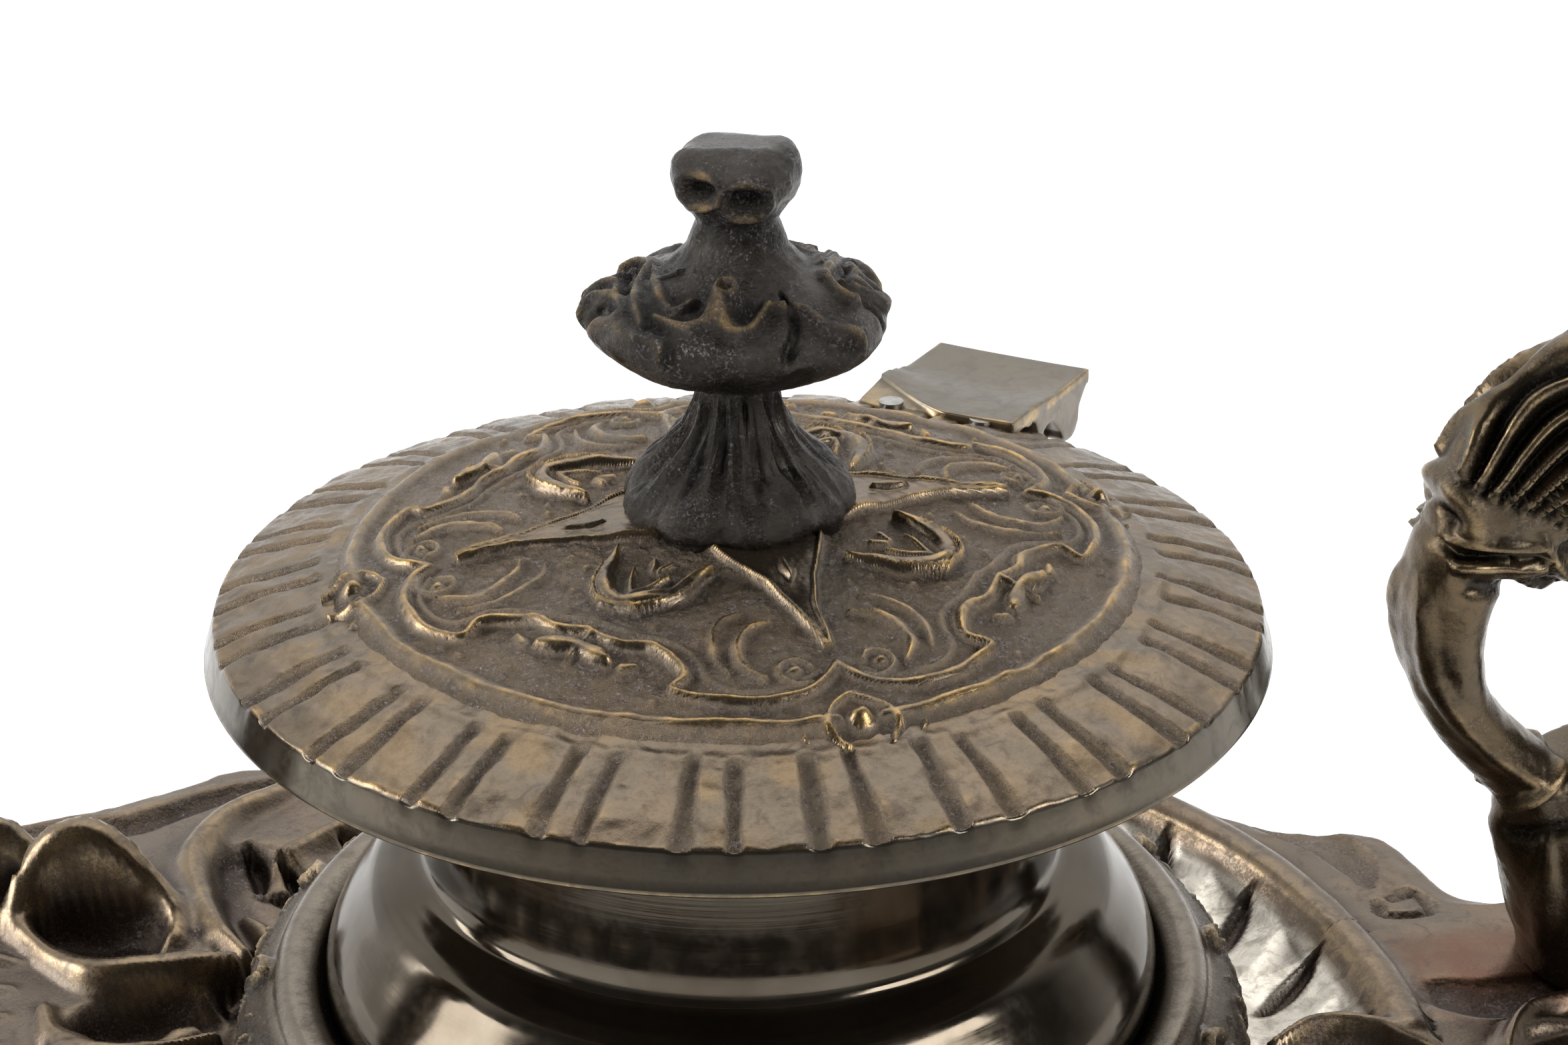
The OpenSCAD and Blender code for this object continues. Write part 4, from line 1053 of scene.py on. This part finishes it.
def build_tray():
    half = np.array(OUTLINE_HALF, float)
    rim = even_steps(smooth_curve(np.vstack([half, -half]), 10, closed=True), 0.5, closed=True)
    out = np.hypot(rim[:, 0], rim[:, 1])
    way = rim / out[:, None]
    fixed = np.concatenate([[2.3, 20.0, 32.0], np.linspace(34.0, 44.6, 27)])
    share = np.linspace(0, 1, 47)[1:] ** 0.94
    r = np.concatenate([np.broadcast_to(fixed, (len(rim), len(fixed))),
                        fixed[-1] + (out[:, None] - fixed[-1]) * share], 1)
    flat = r[..., None] * way[:, None]
    inset = out[:, None] - r
    z, notch, bead_on = tray_top_height(flat[..., 0], flat[..., 1], inset)
    p3 = np.concatenate([flat, z[..., None]], 2)
    smooth_part = ramp(r, 44.2, 46) * bead_on
    soft = 0.05 * noise(p3, 5.0, 301) + 0.05 * noise(p3, 2.2, 303)
    gritty = 0.1 * rough_noise(p3, 0.9, 2, 305)
    recess = ramp(TRAY_TOP - 0.15 - z, 0, 0.4) * ramp(r, 44.6, 45.2)
    shell_work = (1 - bead_on) * ramp(r, 36, 38)
    rough_place = np.clip(recess + 0.45 * shell_work * ramp(12.0 - z, 0, 1.5) + 0.7 * notch, 0, 1)
    # painted highlight: the dish's smooth swellings between the notches get a pale polished colour that
    # mostly stands in for a lamp's reflection
    dish = bead_on * (1 - notch) * ramp(TRAY_TOP - 0.35 - z, 0, 0.5)
    dish = dish * ramp(r, 35, 36.5) * ramp(50 - r, 0, 1)
    z = z + soft * ramp(r, 36, 38) + gritty * rough_place * 0.8
    wear, cavity = edge_marks(z, 5, 1.4)
    wear = wear * (1 - 0.5 * smooth_part)
    p3[..., 2] = z
    # moulded side wall, flat underside with a recess round the feet's pads
    wall = [(-0.02, 1.4), (0.1, 2.0), (0.7, 2.7), (0.9, 3.6), (0.35, 4.6), (0.3, 5.2), (0.9, 5.85),
            (1.8, 6.0)]
    edge_z = z[:, -1]
    low = TRAY_UNDER
    rows = []
    for inward, drop in wall:
        part = drop / wall[-1][1]
        rows.append(np.stack([*(rim - way * inward).T, edge_z * (1 - part) + low * part], 1))
    bolt_hole, recess_in, wall_inset = fixed[0], 47.0, 1.9
    spread = np.linspace(1, 0, 18)[None] * (out[:, None] - wall_inset - recess_in) + recess_in
    below_r = np.concatenate([spread, np.full((len(rim), 1), bolt_hole)], 1)
    below = below_r[..., None] * way[:, None]
    clear = np.full(below.shape[:2], 99.0)
    pad_radius, edge_width, core_radius, recess_end = 7.0, 3.6, 48.2, 55.5
    for node in FEET:
        lo, hi = node_box(node)
        mid = (lo + hi) / 2
        to_foot = np.hypot(below[..., 0] - mid[0], below[..., 1] - mid[1])
        clear = np.minimum(clear, to_foot - pad_radius)
    clear = np.minimum(clear, (out[:, None] - below_r) - edge_width)
    clear = np.minimum(clear, below_r - core_radius)
    clear = np.minimum(clear, recess_end - np.abs(below[..., 0]))
    below_z = low + 2.9 * ramp(clear, 0, 0.8)
    under = np.concatenate([below, below_z[..., None]], 2)
    p = np.concatenate([p3, np.stack(rows, 1), under], 1)
    # the end plates under the handles are redder than the rest
    on_end = ramp(flat[..., 0] * np.sign(flat[..., 0] + 1e-9) - 47.5, 0, 3)
    reddish = on_end * ramp(7 - np.abs(flat[..., 1] + 1.0), 0, 3)
    rest = ((0, 0), (0, p.shape[1] - p3.shape[1]))
    # painted shade: hollows and the spindle notches take the shade colour, and the side wall and underside
    # a little of it
    marks = {
        "wear": np.pad(wear, rest),
        "cavity": np.pad(np.clip(cavity + 0.8 * notch, 0, 1), rest, constant_values=0.15),
        "ground": np.pad(rough_place, rest),
        "polish_and_highlight": np.pad(dish, rest),
        "warm": np.pad(reddish, rest),
    }
    return finish_piece(grid_piece("tray_casting", p, marks, loop=True), "base", tray_bronze,
                        ["tray"])


build_tray()


# ---------------------------------------------------------------- shapes fused from simple solids

def tube(rows, across=24):
    """A solid that follows rows of (x, z, half width in the XZ plane, half depth along y)."""
    rows = even_steps(smooth_curve(rows, 8), 0.8)
    direction = np.gradient(rows[:, :2], axis=0)
    direction /= np.linalg.norm(direction, axis=1, keepdims=True)
    side = np.stack([-direction[:, 1], direction[:, 0]], 1)
    angle = np.arange(across) * 2 * math.pi / across
    c, s = np.cos(angle)[None], np.sin(angle)[None]
    x = rows[:, :1] + side[:, :1] * c * rows[:, 2:3]
    z = rows[:, 1:2] + side[:, 1:] * c * rows[:, 2:3]
    y = s * rows[:, 3:4]
    p = np.stack([x, y, z], 2).transpose(1, 0, 2)
    index = np.arange(across * len(rows)).reshape(across, len(rows))
    quads = woven(np.vstack([index, index[:1]])).tolist()
    return p.reshape(-1, 3), quads + [index[::-1, 0].tolist(), index[:, -1].tolist()]


def slab(outline, y0, y1):
    """A prism between two values of y with an outline of (x, z) rows."""
    o = np.asarray(outline, float)
    count = len(o)
    points = np.vstack([np.stack([o[:, 0], np.full(count, y), o[:, 1]], 1) for y in (y0, y1)])
    walls = [[k, (k + 1) % count, count + (k + 1) % count, count + k] for k in range(count)]
    return points, walls + [list(range(count))[::-1], list(range(count, 2 * count))]


def vectors_of(mesh, key):
    data = np.empty(len(mesh.vertices) * 3, np.float32)
    mesh.vertices.foreach_get(key, data)
    return data.reshape(-1, 3).astype(float)


def fused(solids, voxel, rounds):
    """Points, normals and faces of several closed solids melted into one skin."""
    points, faces, offset = [], [], 0
    for part_points, part_faces in solids:
        points.append(part_points)
        faces += [[k + offset for k in f] for f in part_faces]
        offset += len(part_points)
    rough = new_piece("fusing", np.vstack(points), faces)
    melt = rough.modifiers.new("melt", "REMESH")
    melt.mode, melt.voxel_size = "VOXEL", voxel * MM
    relax = rough.modifiers.new("relax", "SMOOTH")
    relax.iterations, relax.factor = rounds, 0.5
    bpy.context.view_layer.update()
    mesh = bpy.data.meshes.new_from_object(rough.evaluated_get(bpy.context.evaluated_depsgraph_get()))
    melted, normals = vectors_of(mesh, "co") / MM, vectors_of(mesh, "normal")
    faces = [tuple(f.vertices) for f in mesh.polygons]
    bpy.data.meshes.remove(mesh)
    spent = rough.data
    bpy.data.objects.remove(rough)
    bpy.data.meshes.remove(spent)
    return melted, normals, faces


# ---------------------------------------------------------------- handles

def handle_skin():
    foot = tube([(64.0, 10.5, 6.6, 6.6), (63.4, 13.5, 6.4, 6.3), (62.6, 17.5, 7.0, 5.8),
                 (61.8, 21.5, 7.6, 5.4), (61.2, 24.6, 7.5, 5.0), (60.6, 27.4, 5.6, 4.4)], 32)
    near_arm = tube([(57.6, 24.6, 2.6, 3.4), (54.0, 27.8, 2.4, 3.4), (50.9, 31.3, 2.3, 3.4),
                     (48.8, 35.4, 2.5, 3.6), (48.2, 40.0, 3.0, 4.0), (49.4, 44.6, 3.4, 4.3)])
    far_arm = tube([(62.6, 26.0, 3.2, 3.6), (64.4, 30.4, 2.7, 3.6), (65.0, 35.5, 2.6, 3.8),
                    (65.4, 40.5, 3.2, 4.0), (65.0, 45.0, 3.8, 4.2)])
    crest = tube([(50.8, 43.4, 4.6, 4.2), (53.4, 47.4, 7.4, 4.7), (57.6, 49.4, 9.6, 4.8),
                  (62.4, 49.2, 10.4, 4.8), (66.2, 47.2, 8.2, 4.6), (68.6, 45.4, 4.2, 4.2)], 36)
    curl = tube([(60.0, 56.8, 2.6, 4.4), (65.0, 56.6, 2.6, 4.6), (69.0, 53.4, 2.4, 4.6),
                 (70.0, 48.8, 2.2, 4.4), (68.0, 45.6, 2.0, 4.2), (65.4, 46.4, 1.6, 4.4)])
    return fused([foot, near_arm, far_arm, crest, curl], 0.36, 8)


def handle_relief(p, n):
    """Height of the casting's ribs, furrows and folds on both faces and over the crest."""
    x, z = p[:, 0], p[:, 2]
    h = np.zeros(len(p))
    cut = np.zeros(len(p))

    def rib(points, width, height):
        stroke(h, x, z, points, width, height)

    def furrow(points, width, depth):
        stroke(cut, x, z, points, width, depth)

    # ribs that rise from the knot and bend over towards the outer side, with deep furrows between
    for k in range(8):
        start = (47.9 + 0.75 * k ** 1.1, 50.6 - 0.42 * k)
        end = (61.0 + 0.9 * k, 60.4 - 1.75 * k)
        bow = 2.9 - 0.22 * k
        along = np.array(end) - np.array(start)
        across = np.array([-along[1], along[0]]) / np.hypot(*along)
        middle = np.array(start) + 0.42 * along + bow * across
        rib([(*start, 0.5), (*middle, 0.9), (*end, 1.2)], 0.66, 0.75)
        drop = np.array([0.35, -0.9])
        furrow([(*(np.array(start) + 0.7 * drop), 0.4), (*(middle + drop), 1.0),
                (*(np.array(end) + drop), 1.2)], 0.62, 0.85)
    # knot and its two bands
    rib([(46.8, 49.6), (48.2, 48.4), (48.6, 46.8)], 1.2, 0.8)
    rib([(45.6, 47.2), (46.6, 46.2)], 0.9, 0.6)
    furrow([(46.6, 48.0), (47.6, 47.2)], 0.5, 0.6)
    for level in (45.9, 44.5):
        rib([(47.4, level, 0.8), (50.0, level + 0.1), (53.0, level - 0.1, 0.8)], 0.5, 0.7)
    furrow([(47.4, 45.2), (50.2, 45.25), (53.0, 45.1)], 0.42, 0.6)
    furrow([(48.4, 43.2), (51.0, 42.6), (53.6, 42.6)], 1.0, 0.6)
    # long edge of the arm
    rib([(45.4, 44.0, 0.5), (45.9, 39.6), (47.0, 35.6), (50.2, 31.2), (54.6, 27.6), (56.8, 26.4, 0.6)],
        0.85, 0.5)
    rib([(52.6, 46.6, 0.6), (55.0, 43.4), (58.0, 42.6), (61.0, 44.4, 0.6)], 0.7, 0.7)
    furrow([(54.6, 45.6), (57.4, 44.6), (60.0, 46.2)], 0.8, 0.7)
    # collar where the arms part, and folds down the foot
    rib([(53.4, 25.0, 0.7), (56.4, 27.2), (60.4, 28.4), (65.4, 27.0), (68.8, 24.6, 0.7)], 1.0, 0.8)
    furrow([(54.2, 22.6), (58.0, 24.4), (61.8, 25.2), (66.0, 24.0), (68.6, 22.0)], 0.8, 0.5)
    for k in range(5):
        top = 56.2 + 2.8 * k
        rib([(top, 23.0, 0.5), (top + 0.5 - 0.1 * k, 18.0, 1.1), (top + 1.0 - 0.1 * k, 13.0, 0.6)],
            0.95, 0.4)
    # volute at the outer side
    rib([(64.0, 58.2, 0.6), (68.8, 55.8), (70.4, 50.6), (68.6, 46.4), (65.4, 46.6), (64.6, 49.4),
         (66.6, 50.8, 0.6)], 0.8, 0.7)
    furrow([(63.4, 55.4), (67.0, 53.4), (68.2, 50.4), (67.0, 48.4)], 0.7, 0.7)
    facing = ramp(np.abs(n[:, 1]), 0.12, 0.5)
    over = ramp(z, 44, 50) * (1 - ramp(np.abs(n[:, 1]), 0.12, 0.5))
    soft = 0.16 * noise(p, 2.8, 401) + 0.05 * rough_noise(p, 0.9, 2, 403)
    return (h - cut) * (facing + 0.55 * over) + soft


def build_handles():
    p, n, faces = handle_skin()
    low, high = node_box("handle_right")
    h = handle_relief(p, n)
    p = p + n * h[:, None]
    p[:, 2] = np.clip(p[:, 2], low[2], high[2])
    p[:, 0] = np.minimum(p[:, 0], high[0] - 0.05)
    wear = np.clip(h * 1.5 - 0.15 + 0.25 * noise(p, 1.8, 405), 0, 1)
    # painted shade in the furrows between the ribs
    cavity = np.clip(-h * 1.8, 0, 1)
    ground = np.clip(0.35 + 0.5 * noise(p, 3.0, 407) + ramp(22 - p[:, 2], 0, 6) * 0.4, 0, 1)
    marks = {"wear": wear, "cavity": cavity, "ground": ground}
    # the outer end is a little domed
    end = p[p[:, 0] > high[0] - 1.0]
    middle = (end.min(0) + end.max(0)) / 2
    wide = (end.max(0) - end.min(0)) / 2
    off = ((p[:, 1] - middle[1]) / wide[1]) ** 2 + ((p[:, 2] - middle[2]) / wide[2]) ** 2
    near_end = ramp(p[:, 0], high[0] - 3.5, high[0] - 0.4)
    p[:, 0] -= 1.1 * np.clip(off, 0, 1.6) * near_end * ramp(p[:, 2], 34, 40)
    for node, turn in (("handle_right", 1), ("handle_left", -1)):
        points = p.copy()
        if turn < 0:
            # the left one leans out by a hair
            points[:, 0] += 1.5 * ramp(p[:, 2], 18, 40)
            points[:, 0] = np.minimum(points[:, 0], high[0] - 0.05)
        points = points * np.array([turn, turn, 1])
        piece = new_piece(node + "_casting", points, faces, marks)
        finish_piece(piece, "base", handle_bronze, [node])


build_handles()


# ---------------------------------------------------------------- hinge leaf

def build_hinge_leaf():
    half, cheek = 6.2, 1.7
    front, cut_front, back = 29.0, 33.0, 43.5
    eye_radius = 1.75
    front_z, back_z = LID_RIM_Z + 1.8, LID_RIM_Z + 1.1
    skin = 1.2
    pin_z = PIN[2]
    # the plate: its left front corner is cut away in a curve and its middle is a little hollow
    top = smooth_curve([(front, front_z), (front + 4, front_z - 0.1), (PIN_REACH - 2, back_z + 0.1),
                        (back, back_z)], 6)
    plate = slab(np.vstack([top, (top - np.array([0, skin]))[::-1]]), -half, half)
    eye = [(PIN_REACH + eye_radius * math.cos(a), pin_z + eye_radius * math.sin(a))
           for a in np.radians(np.arange(-165, 21, 20))]
    tail = [(back - 0.2, back_z - 0.8), (front + 3, front_z - 0.5)]
    arch = [(LID_R + 0.2, LID_RIM_Z + 0.3), (LID_R + 1.2, LID_RIM_Z - 1.5),
            (PIN_REACH - 4.6, pin_z + 1.0), (PIN_REACH - 3.4, pin_z + 1.0)]
    side = [*eye, *tail, *arch]
    seat = [(front + 0.2, front_z - 0.3), (front + 0.2, lid_dome(front) + 0.05),
            (LID_R - 0.4, lid_dome(LID_R - 0.4) + 0.05), (LID_R - 0.4, front_z - 0.4)]
    solids = [plate, slab(side, -half, -half + cheek), slab(side, half - cheek, half),
              slab(seat, -half, half - 4.5)]
    p, _, faces = fused(solids, 0.22, 6)
    upper = ramp(p[:, 2], front_z - 1.6, front_z - 1.0)
    middle = np.clip(1 - (p[:, 1] / half) ** 2, 0, 1) * np.clip(1 - ((p[:, 0] - 36) / 8) ** 2, 0, 1)
    p[:, 2] -= 0.4 * middle * upper
    corner = np.clip((p[:, 1] + 0.8) / (half + 0.8), 0, 1) ** 1.3
    # only the plate's top is cut back, so a hollow foot shows below it
    above = ramp(p[:, 2], front_z - 1.0, front_z - 0.35)
    cut = (cut_front - front) * corner * above * np.clip(1 - (p[:, 0] - front) / 7.0, 0, 1)
    p[:, 0] += cut
    p[:, 2] += 0.25 * corner * np.clip(1 - (p[:, 0] - cut_front) / 5.0, 0, 1) * upper
    edge = np.maximum(ramp(np.abs(p[:, 1]), half - 0.45, half - 0.1),
                      ramp(front + 0.55 + cut - p[:, 0], 0, 0.35))
    edge = np.maximum(edge, ramp(p[:, 0] - back + 0.5, 0, 0.4)) * upper
    wear = np.clip(edge * (0.6 + 0.5 * noise(p, 1.5, 501)), 0, 1)
    turn = math.radians(90 - HINGE_BEARING)
    c, s = math.cos(turn), math.sin(turn)
    points = np.stack([p[:, 0] * c - p[:, 1] * s, p[:, 0] * s + p[:, 1] * c, p[:, 2]], 1)
    marks = {"wear": wear, "cavity": wear * 0, "ground": wear * 0 + 0.15}
    piece = new_piece("hinge_leaf_plate", points, faces, marks)
    return finish_piece(piece, "lid", leaf_bronze, ["hinge_leaf"])


build_hinge_leaf()

for screw in ("foot_screws", "handle_screws", "pot_bolt", "pot_washer", "pot_nut", "finial_screw",
              "leaf_screws", "hinge_pin", "bracket_screws"):
    give(screw, steel)
give("lid_ring", lid_bronze)
give("hinge_bracket", dark_bronze)


# ---------------------------------------------------------------- camera, light and floor

def build_stage():
    azimuth, pitch = -10.0, 24.08
    reach, rise, yaw = 161.45, 76.38, 1.01
    camera = bpy.data.cameras.new("camera")
    camera.lens, camera.sensor_width = 64.3, 36.0
    camera.clip_start, camera.clip_end = 0.01, 20.0
    eye = bpy.data.objects.new("camera", camera)
    a = math.radians(azimuth)
    eye.location = (reach * math.sin(a) * MM, -reach * math.cos(a) * MM, (LID_RIM_Z + rise) * MM)
    eye.rotation_euler = (math.radians(90 - pitch), 0, math.radians(azimuth - yaw))
    bpy.context.scene.collection.objects.link(eye)
    bpy.context.scene.camera = eye

    floor = bpy.data.meshes.new("floor")
    size = 3.0
    floor.from_pydata([(-size, -size, 0), (size, -size, 0), (size, size, 0), (-size, size, 0)], [],
                      [(0, 1, 2, 3)])
    plane = bpy.data.objects.new("floor", floor)
    bpy.context.scene.collection.objects.link(plane)
    pale = bpy.data.materials.new("pale_floor")
    pale.use_nodes = True
    shader = pale.node_tree.nodes["Principled BSDF"]
    shader.inputs["Base Color"].default_value = (0.9, 0.9, 0.9, 1)
    shader.inputs["Roughness"].default_value = 0.9
    shader.inputs["Specular IOR Level"].default_value = 0.1
    shader.inputs["Emission Color"].default_value = (1, 1, 1, 1)
    shader.inputs["Emission Strength"].default_value = 0.45
    floor.materials.append(pale)

    def soft_box(name, place, target, size, power, size_y=None):
        light = bpy.data.lights.new(name, "AREA")
        light.energy = power
        light.shape = "RECTANGLE"
        light.size, light.size_y = size, size_y or size
        lamp = bpy.data.objects.new(name, light)
        lamp.location = place
        aim = np.array(target) - np.array(place)
        flat = math.hypot(aim[0], aim[1])
        lamp.rotation_euler = (math.atan2(flat, -aim[2]), 0, math.atan2(aim[1], aim[0]) - math.pi / 2)
        bpy.context.scene.collection.objects.link(lamp)

    middle = (0, 0, 0.03)
    soft_box("soft_left", (-0.82, 0.14, 0.33), middle, 0.6, 5.0, 0.32)
    soft_box("soft_right", (0.58, -0.49, 0.5), middle, 0.46, 3.6, 0.26)
    soft_box("soft_back", (0.1, 0.5, 0.9), middle, 1.0, 2.5)

    world = bpy.data.worlds.new("studio")
    world.use_nodes = True
    tree = world.node_tree
    back = tree.nodes["Background"]
    coords = tree.nodes.new("ShaderNodeTexCoord")
    split = tree.nodes.new("ShaderNodeSeparateXYZ")
    tree.links.new(coords.outputs["Generated"], split.inputs[0])

    def span(value, low, high, to_low, to_high):
        node = tree.nodes.new("ShaderNodeMapRange")
        node.interpolation_type = "SMOOTHSTEP"
        for key, amount in (("From Min", low), ("From Max", high)):
            node.inputs[key].default_value = amount
        for key, item in (("Value", value), ("To Min", to_low), ("To Max", to_high)):
            if isinstance(item, bpy.types.NodeSocket):
                tree.links.new(item, node.inputs[key])
            else:
                node.inputs[key].default_value = item
        return node.outputs["Result"]

    # a dark room in front that is a little lighter low down, white paper behind
    front = span(split.outputs["Z"], 0.02, 0.3, 0.3, 0.06)
    shade = span(split.outputs["Y"], -0.1, 0.4, front, 1.0)
    back.inputs["Color"].default_value = (1, 1, 1, 1)
    tree.links.new(shade, back.inputs["Strength"])
    bpy.context.scene.world = world
    bpy.context.scene.view_settings.view_transform = "Standard"
    bpy.context.scene.view_settings.look = "None"


build_stage()
